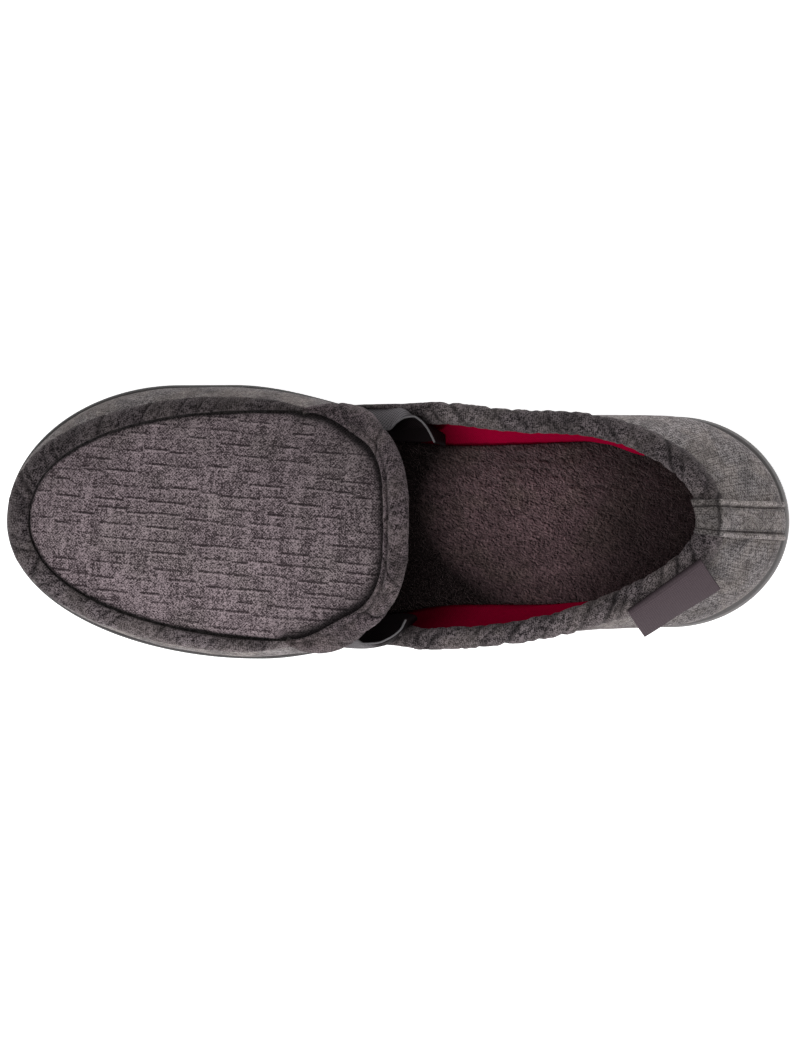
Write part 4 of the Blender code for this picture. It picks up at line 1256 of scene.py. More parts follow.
def make_insole(material):
    """A plush footbed: curled loops of pile as relief, finest where the opening shows it."""
    runs = [np.linspace(run.start, run.end, run.count, endpoint=False) for run in FOOTBED_RUNS]
    turns = turn_at(SOLE_EDGE, np.concatenate([*runs, [SOLE_LENGTH]]), True)
    inset = column(SECTIONS, "inset", plan(TOP_LINE, turns)[:, 0])[:, None]

    def both(extra, rise):
        edges = [inset_line(side, inset + extra) for side in (turns, 2.0 - turns)]
        return [raised(edge, sole_top(edge[:, 0]) + rise) for edge in edges]

    rim = np.linspace(0.0, 1.0, EDGE_COLUMNS)[None, :, None]

    def slope(edge, crown):
        face = edge[:, None] * (1.0 - rim) + crown[:, None] * rim
        face[..., 2] += EDGE_SWELL * np.sin(np.pi * rim[..., 0])
        return face[:, :-1]

    crowns = both(INSOLE_CROWN_INSET, GAP + INSOLE_THICKNESS)
    edges = both(INSOLE_TOP_INSET, GAP + INSOLE_THICKNESS - INSOLE_EDGE_DROP)
    way = np.linspace(0.0, 1.0, FOOTBED_COLUMNS)[None, :, None]
    crown = crowns[0][:, None] * (1.0 - way) + crowns[1][:, None] * way
    crown[..., 2] = sole_top(crown[..., 0]) + GAP + INSOLE_THICKNESS
    medial, lateral = (slope(edge, top) for edge, top in zip(edges, crowns))
    top = np.concatenate([medial, crown, lateral[:, ::-1]], axis=1)
    flat = top[..., :2]
    at, across = flat[..., 0], flat[..., 1]
    curl = flat + np.stack([ripple(flat, wave) for wave in PILE_DRIFT], axis=-1)
    loops = ripple(curl * LOOP_STRETCH, PILE_LOOP) + ripple(flat, PILE_FUZZ)
    brushed = ripple(flat * BRUSH_STRETCH, PILE_BRUSH) + ripple(flat, PILE_PATCH)
    # Painted shade (nap): the vamp's shadow over the footbed's front, a darker heel, and darker medial and
    # lateral edges
    shift = across / VAMP_SHADOW_HALF
    shift = VAMP_SHADOW_LEAN * shift + VAMP_SHADOW_BOW * shift**2
    nap = linear(FOOTBED_PAINTED_SHADE, "shade", at + np.where(at > VAMP_SHADOW_FROM, shift, 0.0))
    sides = 0.0
    for row in SIDE_SHADES:
        sides = sides + row.shade * ease(0.0, 1.0, (row.side * across - row.start) / row.reach)
    shade = np.clip(1.0 - (1.0 - nap) * (1.0 - sides) * (1.0 + BRUSH_SHADE * brushed), 0.0, DARKEST_PILE)
    top[..., 2] += PILE_HEIGHT * (loops + brushed)
    under = np.stack(both(INSOLE_FOOT_INSET, GAP), axis=1)
    piece = add_cover("footbed", top, under, material, {"tuft": loops, "shade": shade})
    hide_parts("insole")


# Upper
def wall_grid(turns, lengths, rise):
    """Points of the wall, their normals, and their places along and up the cloth."""
    face = wall(turns[:, None], rise)
    up = run_length(face)
    return face, wall_normal(turns[:, None], rise), woven(np.broadcast_to(lengths[:, None], up.shape), up)


def make_walls(quarter, lining):
    """The side wall's cloth from the sole to its turned hem, and the crimson lining inside it."""
    turns, lengths = (line[:-1] for line in even_turns(0.0, 2.0, WALL_COLUMNS + 1))
    at = plan(TOP_LINE, turns)[:, 0]
    medial = turns < 1.0
    rise = np.linspace(0.0, 1.0, WALL_ROWS)[None, :] * edge_rises(turns)[:, None]
    face, normal, cloth = wall_grid(turns, lengths, rise)
    up = cloth[..., 1]
    height = up[:, -1:]
    below = height - up
    relief = ripple(face, *WALL_RELIEF) * np.clip(np.minimum(up, below) / WALL_CALM, 0.0, 1.0)
    swell = np.maximum(np.sin(np.pi * np.clip(up / PUFF_HEIGHT, 0.0, 1.0)), 0.0) ** PUFF_POWER
    relief += sided(WALL_PUFF, medial, at) * swell
    # Painted shade: along the foot where the wall meets the sole, in the apron seam's groove at the front,
    # and below the collar
    front = (at > np.where(medial, MEDIAL_NOTCH.corner_at, LATERAL_NOTCH.corner_at))[:, None]
    top_shade = np.where(
        front, faded(below, SEAM_SHADE), faded(np.maximum(below - COLLAR_DROP, 0.0), COLLAR_SHADE)
    )
    shade = np.clip(faded(up, FOOT_SHADE) + top_shade, 0.0, 1.0)
    # Painted light and shade by station and side, as the light falls: lightest on the medial wall from about
    # station 45 to 70
    shade = 1.0 - (1.0 - shade) * (1.0 - sided(WALL_PAINTED_SHADE, medial, at))
    hem = np.minimum(np.clip(1.0 - below / HEM, 0.0, 1.0) * HEM_TURN, 1.0)
    outer = face + normal * relief[..., None]
    inner = face - normal * (CLOTH_THICKNESS + (WALL - CLOTH_THICKNESS) * hem)[..., None]
    turned = np.where((at > RIBS_ALONG_AT)[:, None, None], cloth[..., [1, 0, 2]], cloth)
    fields = {"cloth": turned, "shade": np.clip(shade, 0.0, DARKEST_CLOTH)}
    piece = add_shell("side_wall", outer, inner, quarter, fields, wrap=True)
    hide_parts("upper")
    lean = np.clip(1.0 - (up - FLARE_FROM) / np.maximum(height - FLARE_COLLAR, FLARE_LEAST), 0.0, 1.0)
    flare = sided(LINING_FLARE, medial, at) * lean**FLARE_POWER * np.clip(up / FLARE_FOOT, 0.0, 1.0)
    hemmed = 1.0 - HEM / np.maximum(height, 2.0 * HEM)
    face, normal, cloth = wall_grid(turns, lengths, rise * hemmed)
    # Painted shadow: the lining darkens towards the front, under the vamp
    painted_shadow = VAMP_PAINTED_SHADOW * ease(0.0, 1.0, (at - LINING_SHADOW_FROM) / LINING_SHADOW_LENGTH)[:, None]
    fabric = face - normal * (LINING_OFFSET + ripple(face, LINING_FACE))[..., None]
    back = face - normal * (WALL + flare + ripple(face, LINING_BACK))[..., None]
    fields = {"cloth": cloth, "shade": np.broadcast_to(painted_shadow, up.shape)}
    piece = add_shell("wall_lining", fabric, back, lining, fields, wrap=True)


def plug_grid(count, columns):
    """Plan points of the plug, in rows across it from just inside the throat to just inside the toe."""
    at = np.linspace(THROAT_AT + PLUG_START, TOP_LINE.toe_end - PLUG_END, count)
    back = throat(FINE_SAMPLES)
    middle = np.argmin(back[:, 0])
    medial_throat = np.interp(at, back[: middle + 1, 0][::-1], back[: middle + 1, 1][::-1])
    lateral_throat = np.interp(at, back[middle:, 0], back[middle:, 1])
    medial = np.where(at < MEDIAL_NOTCH.corner_at, medial_throat, -half_width(TOP_LINE, TOP_LINE.medial, at))
    lateral_seam = half_width(TOP_LINE, TOP_LINE.lateral, at)
    lateral = np.where(at < LATERAL_NOTCH.corner_at, lateral_throat, lateral_seam)
    way = np.linspace(0.0, 1.0, columns)
    across = medial[:, None] * (1.0 - way) + lateral[:, None] * way
    return np.stack([np.broadcast_to(at[:, None], across.shape), across], axis=-1)


def nearest(flat, line):
    """Distance in plan from each point to a line of points, and the number of the nearest one."""
    best = np.full(flat.shape[:-1], np.inf)
    number = np.zeros(flat.shape[:-1], dtype=int)
    for i, point in enumerate(line):
        gap = (flat[..., 0] - point[0]) ** 2 + (flat[..., 1] - point[1]) ** 2
        closer = gap < best
        best[closer] = gap[closer]
        number[closer] = i
    return np.sqrt(best), number


def within(value, start, end):
    """1 between a start and an end, softly 0 outside them."""
    rise = np.clip((value - start) / PATTERN_SOFT + 0.5, 0.0, 1.0)
    return rise * np.clip((end - value) / PATTERN_SOFT + 0.5, 0.0, 1.0)


def embossing(flat):
    """The plug's pressed pattern: dashes and tone bars from -1 to 1, and dotted columns from 0 to 1."""
    chance = np.random.default_rng(EMBOSS_SEED)
    along = -flat[..., 0] * np.cos(DASH_TILT) + flat[..., 1] * np.sin(DASH_TILT)
    across = flat[..., 0] * np.sin(DASH_TILT) + flat[..., 1] * np.cos(DASH_TILT)
    dash, tone, dots = (np.zeros(flat.shape[:-1]) for _ in range(3))
    for row in np.arange(across.min(), across.max(), DASH_ROWS):
        near = (across > row - DASH_REACH) & (across < row + DASH_REACH)
        x, y = along[near], across[near]
        start = along.min() - chance.uniform(*PATTERN_START)
        while start < along.max():
            length = chance.uniform(*DASH_LENGTH)
            middle = row + chance.normal(*PATTERN_DRIFT)
            strengths = [chance.uniform(*DASH_FAINT), chance.uniform(*DASH_STRONG)]
            strength = chance.choice(strengths, p=DASH_CHANCES)
            # Each dash: a dark pressed line, partly painted shade, and a painted highlight a step beside it
            pressed = DASH_HIGHLIGHT * bell(y - middle - DASH_HIGHLIGHT_STEP, DASH_LINE) - bell(y - middle, DASH_LINE)
            dash[near] += strength * within(x, start, start + length) * pressed
            start += length + chance.choice([chance.uniform(*gap) for gap in DASH_GAPS])
    for start in np.arange(along.min(), along.max(), BAR_STEP):
        near = np.abs(along - start) < BAR_REACH
        x, y = along[near], across[near]
        place = across.min() - chance.uniform(*PATTERN_START)
        while place < across.max():
            length = chance.uniform(*BAR_LENGTH)
            half = chance.uniform(*BAR_WIDTH) / 2
            middle = start + chance.normal(*PATTERN_DRIFT)
            inside = within(y, place, place + length)
            tone[near] += chance.choice(BAR_TONES) * within(x, middle - half, middle + half) * inside
            dots[near] += chance.uniform(*DOT_STRENGTH) * bell(np.abs(x - middle) - half, DOT_LINE) * inside
            place += length + chance.choice([BAR_GAP, chance.uniform(*BAR_GAPS)])
    return np.clip(dash, *DASH_LIMITS), np.clip(tone, -BAR_LIMIT, BAR_LIMIT), np.clip(dots, 0.0, 1.0)


def make_plug(material, lining):
    """The apron's cloth, pressed and puckered, with painted shade round its seam and throat, and its lining.
    """
    flat = plug_grid(*PLUG_GRID)
    seam_turns, _ = even_turns(*seam_ends(), SEAM_SAMPLES)
    to_seam, _ = nearest(flat, plan(TOP_LINE, seam_turns))
    line = throat(THROAT_SAMPLES)
    to_throat, number = nearest(flat, line)
    past = to_throat - BAND_DEPTH * BAND_SHARE * band_taper(line)[number]
    pattern = dict(zip(("dash", "tone", "dots"), embossing(flat)))
    dip = SEAM_DIP * (1.0 - arc(1.0 - np.clip(to_seam / PLUG_CALM, 0.0, 1.0)))
    dip += faded(np.maximum(past - DIP_START, 0.0), THROAT_DIP)
    calm = np.clip(np.minimum(to_seam, past) / PLUG_CALM, 0.0, 1.0)
    relief = ripple(flat, *PLUG_SWELL) + ripple(flat, PLUG_PUCKER) * bell(to_seam, PUCKER_REACH)
    relief += sum(amount * pattern[name] for name, amount in PLUG_RELIEF.items())
    # Painted shade: in the ragged seam groove, along the throat band, and towards the rear, away from the
    # light
    ragged = to_seam + ripple(flat, *SEAM_RAGGED)
    shade = faded(np.maximum(ragged, 0.0), PLUG_SEAM_SHADE)
    for fade in THROAT_SHADES:
        shade += faded(np.maximum(past - THROAT_SHADE_START, 0.0), fade)
    shade += REAR_SHADE * ease(0.0, 1.0, (REAR_SHADE_AT - flat[..., 0]) / REAR_SHADE_LENGTH)
    fields = {**pattern, "dash": pattern["dash"] * calm, "shade": np.clip(shade, 0.0, DARKEST_CLOTH)}
    pick = np.linspace(0, flat.shape[1] - 1, UNDER_COLUMNS).astype(int)
    top, under = on_plug(flat, calm * relief - dip), on_plug(flat[:, pick], UNDER_OFFSET)
    piece = add_cover("plug", top, under, material, fields)
    flat = plug_grid(*PLUG_LINING_GRID)
    outer = on_plug(flat, PLUG_LINING_FACE)
    inner = on_plug(flat, PLUG_LINING_BACK + ripple(flat, PLUG_LINING_RELIEF))
    # Painted shadow: the plug's lining is darkened all over, under the vamp
    fields = {"cloth": raised(flat, 0.0), "shade": np.full(flat.shape[:-1], VAMP_PAINTED_SHADOW)}
    piece = add_shell("plug_lining", outer, inner, lining, fields)


# Sewn strips
def band_taper(line):
    """Share of the throat band's full width along its edge line: it narrows to a point at each corner."""
    return ease(BAND_POINT, 1.0, from_ends(run_length(line)) / BAND_TAPER)


def from_ends(lengths):
    """Length from the nearer end of a line."""
    return np.minimum(lengths, lengths[-1] - lengths)


def section_points(outline, slot, count):
    """A closed section: a smooth outline followed by its slot's corners."""
    return np.concatenate([spline(np.array(outline), count), np.array(slot)])


def strip_places(lengths, girth, size):
    """Lengths along and around a strip, a row for each of its sections."""
    around = np.broadcast_to(girth, (len(lengths), size))
    return np.broadcast_to(lengths[:, None], around.shape), around


def freedom(size, outline, first, last):
    """How freely a section's points swell: not at all in its slot, little at its sewn ends."""
    free = np.where(np.arange(size) < outline, 1.0, 0.0)
    free[:first] = SEWN_SHARE
    free[outline - last : outline] = SEWN_SHARE
    return free


def make_apron_roll(material):
    """The padded roll along the apron seam, tucked round the toe."""
    turns, lengths = even_turns(*seam_ends(), ROLL_ROWS)
    section = section_points(ROLL_OUTLINE, ROLL_BASE, ROLL_POINTS)
    along, around = strip_places(lengths, np.linspace(0.0, ROLL_GIRTH, len(section)), len(section))
    places = np.interp([tuck.turn for tuck in ROLL_TUCKS], turns, lengths)
    fold = tucked(creases(along, around, ROLL_CREASES), along, around, ROLL_TUCKS, places, ROLL_TUCK_MIDDLE)
    _, swell = padding(along, around, ROLL_PAD)
    width = column(ROLL_WIDTHS, "width", plan(TOP_LINE, turns)[:, 0])
    height = section[None, :, 1] - GAP
    soft = np.clip(height / ROLL_SOFT_HEIGHT, 0.0, 1.0)
    taper = np.clip(width / ROLL_FULL_WIDTH, ROLL_LEAST, 1.0)
    taper = (taper * ease(ROLL_END_SHARE, 1.0, from_ends(lengths) / ROLL_END))[:, None]
    offset = GAP + height * taper + soft * taper * (swell - CREASE_DEPTH * fold)
    points = on_wall(turns, 1.0, section[None, :, 0] * width[:, None], offset)
    # Painted shade: medial side and toe darker than the lateral, the lateral's inner half darker, and darker
    # creases and base edge
    under = np.clip(ROLL_UNDER_START - ROLL_UNDER_FALL * section[None, :, 0], 0.0, 1.0)
    under = under * (turns > 1.0)[:, None]
    nap = np.maximum(linear(ROLL_PAINTED_SHADE, "shade", turns)[:, None], ROLL_UNDER_SHADE * under)
    wear_and_shade = np.clip(ROLL_CREASE_SHADE * fold + ROLL_EDGE_SHADE * (1.0 - soft), 0.0, DARKEST_ROLL)
    fields = {
        "cloth": woven(along + around, around - along * ROLL_BIAS),
        "shade": 1.0 - (1.0 - nap) * (1.0 - wear_and_shade),
    }
    piece = add_tube("roll", points, material, fields)
    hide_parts("apron_roll")


def make_collar_binding(material):
    """The padded bias binding round the collar, creased to each side of the heel."""
    start = turn_at(TOP_LINE, LATERAL_NOTCH.bottom_at, False) - 2.0
    end = turn_at(TOP_LINE, MEDIAL_NOTCH.bottom_at, True)
    turns, lengths = even_turns(start, end, BINDING_ROWS)
    section = section_points(BINDING_OUTLINE, BINDING_SLOT, BINDING_POINTS)
    along, around = strip_places(lengths, np.linspace(0.0, BINDING_GIRTH, len(section)), len(section))
    side = np.clip(turns * SLANT_CHANGE, -1.0, 1.0)[:, None]
    fold = creases(along, around * side, BINDING_CREASES)
    loose, swell = padding(along, around, BINDING_PAD)
    free = freedom(len(section), BINDING_POINTS, 2, 2)[None, :]
    swell = free * (swell - CREASE_DEPTH * fold)
    out = unit(section - np.array(BINDING_MIDDLE))
    taper = ease(BINDING_END_SHARE, 1.0, from_ends(lengths) / BINDING_END)[:, None]
    depth = section[None, :, 0] * taper + swell * out[None, :, 0]
    offset = section[None, :, 1] + swell * out[None, :, 1]
    reach = linear(BINDING_REACH, "reach", plan(TOP_LINE, turns)[:, 0]) * (turns < 0.0)
    inside = np.clip((BINDING_MIDDLE[1] - section[None, :, 1]) / REACH_SOFT, 0.0, 1.0)
    offset -= reach[:, None] * inside * free
    points = on_wall(turns, edge_rises(turns), depth, offset)
    # Painted shade by turn, darker at the heel and medial heel, with darker creases and painted light on
    # loose puffs
    nap = linear(BINDING_PAINTED_SHADE, "shade", turns)[:, None]
    wear_and_shade = (BINDING_CREASE_SHADE * fold + BINDING_LOOSE_SHADE * loose) * free
    shade = 1.0 - (1.0 - nap) * (1.0 - np.clip(wear_and_shade, 0.0, DARKEST_FOLD))
    fields = {"cloth": woven(along - around, around + along * BINDING_BIAS), "shade": shade}
    piece = add_tube("binding", points, material, fields)
    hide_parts("collar_binding")


def make_binding_tail(side, places, material):
    """The collar binding's thin front end, sewn down along the outside of a gore."""
    at = np.linspace(places[0].at, places[-1].at, TAIL_ROWS)
    turns = turn_at(TOP_LINE, at, side == "medial")
    middle, height, inner, outer = (column(places, name, at)[:, None] for name in places[0]._fields[1:])
    angle = np.linspace(0.0, 2.0 * np.pi, TAIL_POINTS, endpoint=False)
    along, around = strip_places(run_length(plan(TOP_LINE, turns)), angle * TAIL_GIRTH, TAIL_POINTS)
    loose = 1.0 + ripple(np.stack([along, around], axis=-1), *TAIL_LOOSE)
    depth = middle - height / 2.0 * np.sin(angle) * loose
    offset = (inner + outer) / 2.0 + (outer - inner) / 2.0 * np.cos(angle) * loose
    points = on_wall(turns, 1.0, depth, offset)
    # Painted shade: the tail darker all along beside its gore, and darker still in its creases
    shade = TAIL_SHADE + TAIL_CREASE_SHADE * creases(along, around, TAIL_CREASES)
    fields = {
        "cloth": woven(along - around, around + along * BINDING_BIAS),
        "shade": np.clip(shade, 0.0, DARKEST_TAIL),
    }
    piece = add_tube("binding_tail_" + side, points, material, fields)


def make_throat_band(material):
    """The folded band round the throat, with a piped groove, spread near its two corners."""
    line = throat(BAND_ROWS)
    tangent = np.gradient(line, axis=0)
    inward = unit(np.stack([tangent[:, 1], -tangent[:, 0]], axis=-1))
    lengths = run_length(line)
    section = section_points(BAND_OUTLINE, BAND_SLOT, BAND_POINTS)
    along, around = strip_places(lengths, np.linspace(0.0, BAND_GIRTH, len(section)), len(section))
    taper = band_taper(line)[:, None]
    half = lengths < lengths[-1] / 2
    amount, peak = (np.where(half, *pair) for pair in zip(MEDIAL_SPREAD, LATERAL_SPREAD))
    spread = np.sin(np.pi * np.clip(from_ends(lengths) / SPREAD_REACH, 0.0, 1.0) ** peak)
    spread = (amount * spread)[:, None]
    places = [tuck.turn * lengths[-1] for tuck in BAND_TUCKS]
    fold = tucked(creases(along, around, BAND_CREASES), along, around, BAND_TUCKS, places, BAND_TUCK_MIDDLE)
    loose, swell = padding(along, around, BAND_PAD)
    free = freedom(len(section), BAND_POINTS, 2, 3)[None, :]
    groove = (bell(section[:, 0] - PIPING_AT, PIPING_WIDTH) * (section[:, 1] > PIPING_LEAST))[None, :]
    heal = np.clip(1.0 - PIPING_FADE * lengths / lengths[-1], 0.0, PIPING_FADE_MOST)[:, None]
    depth = np.where(section[None, :, 0] > 0, section[None, :, 0] * BAND_SHARE * taper, section[None, :, 0])
    depth = depth - spread * (1.0 - np.clip(depth / (BAND_DEPTH * BAND_SHARE * taper), 0.0, 1.0))
    lift = section[None, :, 1] + free * (swell - CREASE_DEPTH * fold) + PIPING_FILL * groove * heal
    inner = section[None, :, 1] < UNDER_WALL
    offset = np.where(inner, UNDER_WALL + (lift - UNDER_WALL) * taper, lift * np.maximum(taper, BAND_LEAST))
    points = on_plug(line[:, None, :] + inward[:, None, :] * depth[..., None], offset)
    # Painted shade in the unfilled piping groove, uneven along the band, darker creases and tucks; painted
    # light on loose puffs
    wear_and_shade = np.clip(PIPING_SHADE_MEAN + ripple(along[..., None], PIPING_SHADE_WAVER), 0.0, 1.0)
    shade = BAND_CREASE_SHADE * fold + BAND_LOOSE_SHADE * loose + PIPING_SHADE * groove * (1.0 - heal) * wear_and_shade
    fields = {
        "cloth": woven(along + BAND_BIAS * around, around - BAND_BIAS * along),
        "shade": np.clip(shade, 0.0, DARKEST_FOLD),
    }
    piece = add_tube("band", points, material, fields)
    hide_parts("throat_band")


# Heel stay
def stay_path():
    """The heel stay's path, and how far a turn moves a point sideways at each place on it."""
    path = spline(np.array(STAY_PATH), STAY_ROWS)
    here, beside = (on_wall([turn], 1.0, path[:, 0], path[:, 1])[0] for turn in (0.0, TURN_STEP))
    return path, np.linalg.norm(beside - here, axis=1) / TURN_STEP


def on_stay(path, reach, across, height, width=1.0):
    """Points on the stay: one row for each place on its path, at distances across and heights out of it."""
    lean = STAY_LEAN * np.linspace(0.0, 1.0, len(reach))
    width = np.broadcast_to(width, len(reach))[:, None]
    turns = ((np.asarray(across)[None, :] * width + lean[:, None]) / reach[:, None]).ravel()

    def face(depth, offset):
        depth, offset = (np.repeat(values, len(across))[:, None] for values in (depth, offset))
        return on_wall(turns, 1.0, depth, offset).reshape(len(path), len(across), 3)

    low = face(path[:, 0], path[:, 1])
    high = face(path[:, 2], path[:, 3])
    return low + (high - low) * np.asarray(height)[..., None]


def make_heel_stay(material):
    """The folded strip down the back, with two raised edges, lapped over the collar and tucked inside."""
    path, reach = stay_path()
    right = np.array(STAY_HALF_OUTLINE)
    outline = np.concatenate([right * (-1.0, 1.0), [(0.0, STAY_MIDDLE_HEIGHT)], right[::-1]])
    across, outline_height = spline(outline, STAY_POINTS).T
    lengths = run_length(on_stay(path, reach, [0.0], [1.0])[:, 0])
    surface = np.stack(np.meshgrid(lengths, across, indexing="ij"), axis=-1)
    from_top = (lengths[-1] - lengths)[:, None]
    crease = bell(from_top - STAY_FOLD, FOLD_CREASE.reach)
    folded = np.clip((STAY_FOLD - from_top) / FOLD_SOFT + 0.5, 0.0, 1.0)
    inside = np.clip((TUCKED_FROM - from_top) / TUCKED_LENGTH, 0.0, 1.0)
    relief = ripple(surface, *STAY_RELIEF) - FOLD_CREASE.amount * crease
    pressed = np.minimum(outline_height, FOLDED_HEIGHT) * folded * (1.0 - TUCKED_THINNING * inside)
    height = (outline_height * (1.0 - folded) + pressed) * (1.0 + relief)
    width = 1.0 - TUCKED_NARROWING * inside[:, 0]
    base_across = across[::STAY_BASE_STEP]
    face = on_stay(path, reach, across, height, width)
    base = on_stay(path, reach, base_across, np.zeros(len(base_across)), width)
    side = np.concatenate([across, base_across[::-1]])[None, :]
    along = np.broadcast_to(lengths[:, None], (len(lengths), side.shape[1]))
    # Painted shade in the grooves and the fold's crease, and on the panel so the raised edges read as lit;
    # darker over the collar where folded
    groove = sum(bell(np.abs(side) - row.across, row.width) for row in STAY_GROOVES)
    shade = STAY_SHADES["groove"] * groove * (1.0 - GROOVE_FADE * folded)
    shade = shade + STAY_SHADES["panel"] * (np.abs(side) < STAY_PANEL) * (1.0 - folded)
    shade = shade + STAY_SHADES["crease"] * crease + STAY_SHADES["folded"] * folded
    cloth = woven(np.broadcast_to(side, along.shape), along)
    fields = {"cloth": cloth, "shade": np.clip(shade, 0.0, DARKEST_FOLD)}
    piece = add_tube("stay", np.concatenate([face, base[:, ::-1]], axis=1), material, fields)
    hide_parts("heel_stay")
    return path, reach


def make_stay_stitches(path, reach, material):
    """Four rows of short stitches down the stay: small rounded bars with tapered ends."""
    places, ways = [], []
    for row in STITCH_LINES:
        line = on_stay(path, reach, [row.across], [row.lift])[:STITCHED_ROWS, 0]
        places.append(evenly(line, int(run_length(line)[-1] / STITCH_SPACING)))
        ways.append(unit(np.gradient(places[-1], axis=0)))
    places, ways = np.concatenate(places)[:, None], np.concatenate(ways)[:, None]
    ups = unit(np.cross(ways, (0.0, 1.0, 0.0)))
    cross = np.cross(ups, ways)
    angle = np.linspace(0.0, 2 * np.pi, STITCH_SIDES, endpoint=False)[None, :, None]
    round_bar = (np.cos(angle) * cross + np.sin(angle) * ups) * STITCH_RADIUS
    rings = [places + ways * ring.share * STITCH_LENGTH + round_bar * ring.size for ring in STITCH_RINGS]
    tips = [places - ways * STITCH_LENGTH / 2, places + ways * STITCH_LENGTH / 2]
    points = np.concatenate([*rings, *tips], axis=1)
    first = (np.arange(len(points)) * points.shape[1])[:, None, None]
    faces = [(part + first).reshape(-1, part.shape[1]) for part in tube_faces(len(rings), STITCH_SIDES)]
    piece = add_piece("stay_stitches", points, faces, material)


# Gores
def gore_grid(folds, notch, medial):
    """Points of a gore's outer face, with a row for each station, their normals and their stations."""
    at = np.linspace(folds[0].at, folds[-1].at, GORE_GRID[0])
    fold = {name: column(folds, name, at)[:, None] for name in folds[0]._fields[1:]}
    way = np.linspace(0.0, 1.0, GORE_GRID[1])[None, :]
    clear = notch_rise(notch, at)[:, None] + GORE_CLEAR_RISE
    rise = fold["foot_rise"] + (fold["top_rise"] - fold["foot_rise"]) * way
    swell = ease(0.0, 1.0, (rise - clear) / np.maximum(fold["swell_rise"] - clear, GORE_LEAST_SWELL))
    swell = fold["foot_inset"] + (fold["swell_inset"] - fold["foot_inset"]) * swell
    top = ease(0.0, 1.0, (rise - fold["swell_rise"]) / (fold["top_rise"] - fold["swell_rise"]))
    inset = swell + (fold["top_inset"] - swell) * top
    turn = turn_at(TOP_LINE, at, medial)[:, None]
    normal = wall_normal(turn, rise)
    return wall(turn, rise) - normal * inset[..., None], normal, at


def make_gore(side, folds, notch, material, bead_material):
    """A slack elastic gore with a bead along its top edge."""
    medial = side == "medial"
    outer, normal, at = gore_grid(folds, notch, medial)
    inner = outer - normal * GORE_THICKNESS
    along = np.broadcast_to(np.linspace(0.0, GORE_LENGTH, GORE_GRID[0])[:, None], GORE_GRID)
    # Painted shadow: the outer face near black under the collar until it comes out, and the inner face near
    # black all over
    painted_shadow = ease(1.0, 0.0, (at - (MEDIAL_SHADOW_END if medial else LATERAL_SHADOW_END)) / GORE_SHADOW_REACH)
    piece = add_shell("webbing_" + side, outer, inner, material, {"cloth": woven(along, run_length(outer))})
    inside = np.concatenate([np.broadcast_to(painted_shadow[:, None], GORE_GRID).ravel(), np.ones(along.size)])
    piece.data.attributes.new("inside", "FLOAT", "POINT").data.foreach_set("value", inside.astype(np.float32))
    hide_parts("gore_" + side)
    edge = (outer[:, -1] + inner[:, -1]) / 2.0
    bead = add_cable("webbing_bead_" + side, evenly(edge, BEAD_POINTS), BEAD_RADIUS, bead_material)


def add_cable(name, line, radius, material):
    """A thin round cord along a line of points."""
    along = unit(np.gradient(line, axis=0))
    side = unit(np.cross(along, (0.0, 0.0, 1.0)))
    up = np.cross(side, along)
    angle = np.linspace(0.0, 2 * np.pi, BEAD_SIDES, endpoint=False)[None, :, None]
    ring = side[:, None, :] * np.cos(angle) + up[:, None, :] * np.sin(angle)
    return add_tube(name, line[:, None, :] + ring * radius, material)


# Label
def make_label(material):
    """A folded bare ribbon: a straight-edged patch that laps over the collar binding and hangs outside."""
    front = np.linspace(0.0, 1.0, LABEL_GRID[0])[:, None, None]
    way = np.linspace(0.0, 1.0, LABEL_GRID[1])[None, :, None]
    bow = 4.0 * front * (1.0 - front)
    corners = []
    for corner in LABEL_CORNERS:
        place = on_wall(turn_at(TOP_LINE, corner.at, False), 1.0, [corner.depth], corner.offset)[0, 0]
        corners.append(place + (0.0, 0.0, corner.lift))
    upper = corners[0] * (1.0 - front) + corners[1] * front
    lower = corners[2] * (1.0 - front) + corners[3] * front
    normal = unit(np.cross(corners[0] - corners[2], corners[1] - corners[0]))
    bulge = (LABEL_BULGE + LABEL_BOW * bow) * LABEL_PEAK * np.sqrt(way) * (1.0 - way)
    wave = LABEL_RIPPLE * np.sin(front * LABEL_RIPPLES) * way
    inner = upper * (1.0 - way) + lower * way + normal * (bulge + wave)
    inner += np.array([0.0, 0.0, LABEL_CREST]) * bow * (1.0 - way) ** 3
    outer = inner + normal * LABEL_THICKNESS
    length, width = (np.linalg.norm(corners[i] - corners[0]) for i in (1, 2))
    up = np.broadcast_to(width * way[..., 0], LABEL_GRID)
    cloth = woven(np.broadcast_to(length * front[..., 0], LABEL_GRID), up)
    # Painted shade along the label's top edge, where it laps over the collar binding
    piece = add_shell("label", outer, inner, material, {"cloth": cloth, "shade": faded(up, LABEL_SHADE)})
    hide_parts("label_tab")


# Stage
def add_object(name, data):
    added = bpy.data.objects.new(name, data)
    bpy.context.scene.collection.objects.link(added)
    return added


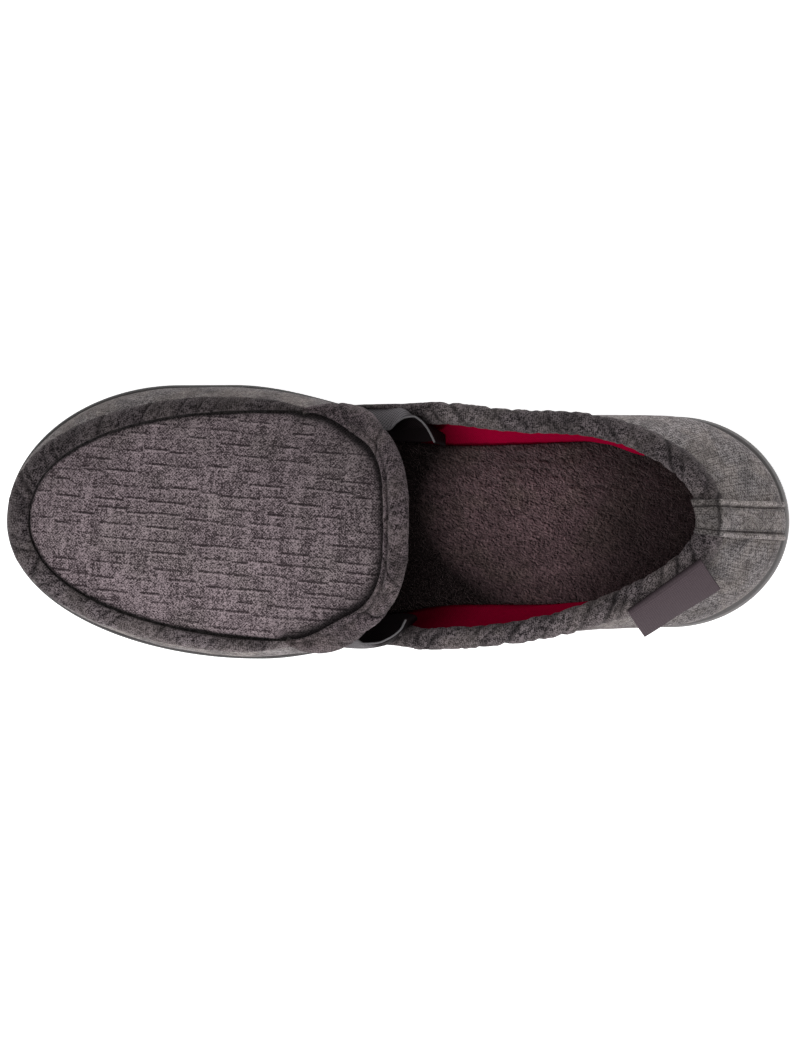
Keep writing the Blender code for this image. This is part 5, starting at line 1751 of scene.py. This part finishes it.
def make_camera():
    """A long lens above the slipper, tilted a little towards the heel."""
    right = Vector((-np.cos(CAMERA_TILT), 0.0, -np.sin(CAMERA_TILT)))
    up = Vector((0.0, -1.0, 0.0))
    back = right.cross(up)
    data = bpy.data.cameras.new("camera")
    data.sensor_fit = "HORIZONTAL"
    data.sensor_width = SENSOR
    data.lens = CAMERA_LENS
    data.clip_start, data.clip_end = CAMERA_CLIP
    camera = add_object("camera", data)
    camera.matrix_world = Matrix((right, up, back)).transposed().to_4x4()
    target = Vector((0.0, 0.0, TARGET_HEIGHT)) + right * TARGET_RIGHT - up * TARGET_DOWN
    camera.location = target + back * CAMERA_DISTANCE
    bpy.context.scene.camera = camera


def make_lights():
    """Three soft lamps and an even white surround."""
    for lamp in LAMPS:
        data = bpy.data.lights.new(lamp.name, "AREA")
        data.size = lamp.size
        data.energy = lamp.power
        light = add_object(lamp.name, data)
        light.location = lamp.place
        aim = Vector(LAMP_AIM) - Vector(lamp.place)
        light.rotation_euler = aim.to_track_quat("-Z", "Y").to_euler()
    world = bpy.data.worlds.new("studio")
    world.use_nodes = True
    background = world.node_tree.nodes["Background"]
    background.inputs["Color"].default_value = (*WHITE, 1.0)
    background.inputs["Strength"].default_value = WORLD_STRENGTH
    bpy.context.scene.world = world
    settings = bpy.context.scene.view_settings
    settings.view_transform = "Standard"
    settings.look = "None"


def make_floor():
    mesh = bpy.data.meshes.new("floor")
    corners = [(x * FLOOR_HALF, y * FLOOR_HALF, 0.0) for x, y in ((-1, -1), (1, -1), (1, 1), (-1, 1))]
    mesh.from_pydata(corners, [], [(0, 1, 2, 3)])
    mesh.materials.append(floor_material())
    floor = add_object("floor", mesh)


def main():
    cloths = {look.name: napped_cloth(look) for look in CLOTHS}
    lining = lining_material()
    webbing = webbing_material()
    bead = thread_material("bead_thread", BEAD_GREY)
    make_sole(rubber_material())
    make_insole(plush_material())
    make_walls(cloths["quarter_cloth"], lining)
    make_plug(plug_cloth(), lining)
    make_apron_roll(cloths["dark_cloth"])
    make_collar_binding(cloths["binding_cloth"])
    make_binding_tail("medial", MEDIAL_TAIL, cloths["binding_cloth"])
    make_binding_tail("lateral", LATERAL_TAIL, cloths["binding_cloth"])
    make_throat_band(cloths["band_cloth"])
    path, reach = make_heel_stay(cloths["stay_cloth"])
    make_stay_stitches(path, reach, thread_material("thread", THREAD_GREY))
    make_gore("medial", MEDIAL_GORE, MEDIAL_NOTCH, webbing, bead)
    make_gore("lateral", LATERAL_GORE, LATERAL_NOTCH, webbing, bead)
    make_label(ribbon_material())
    make_floor()
    make_camera()
    make_lights()


main()
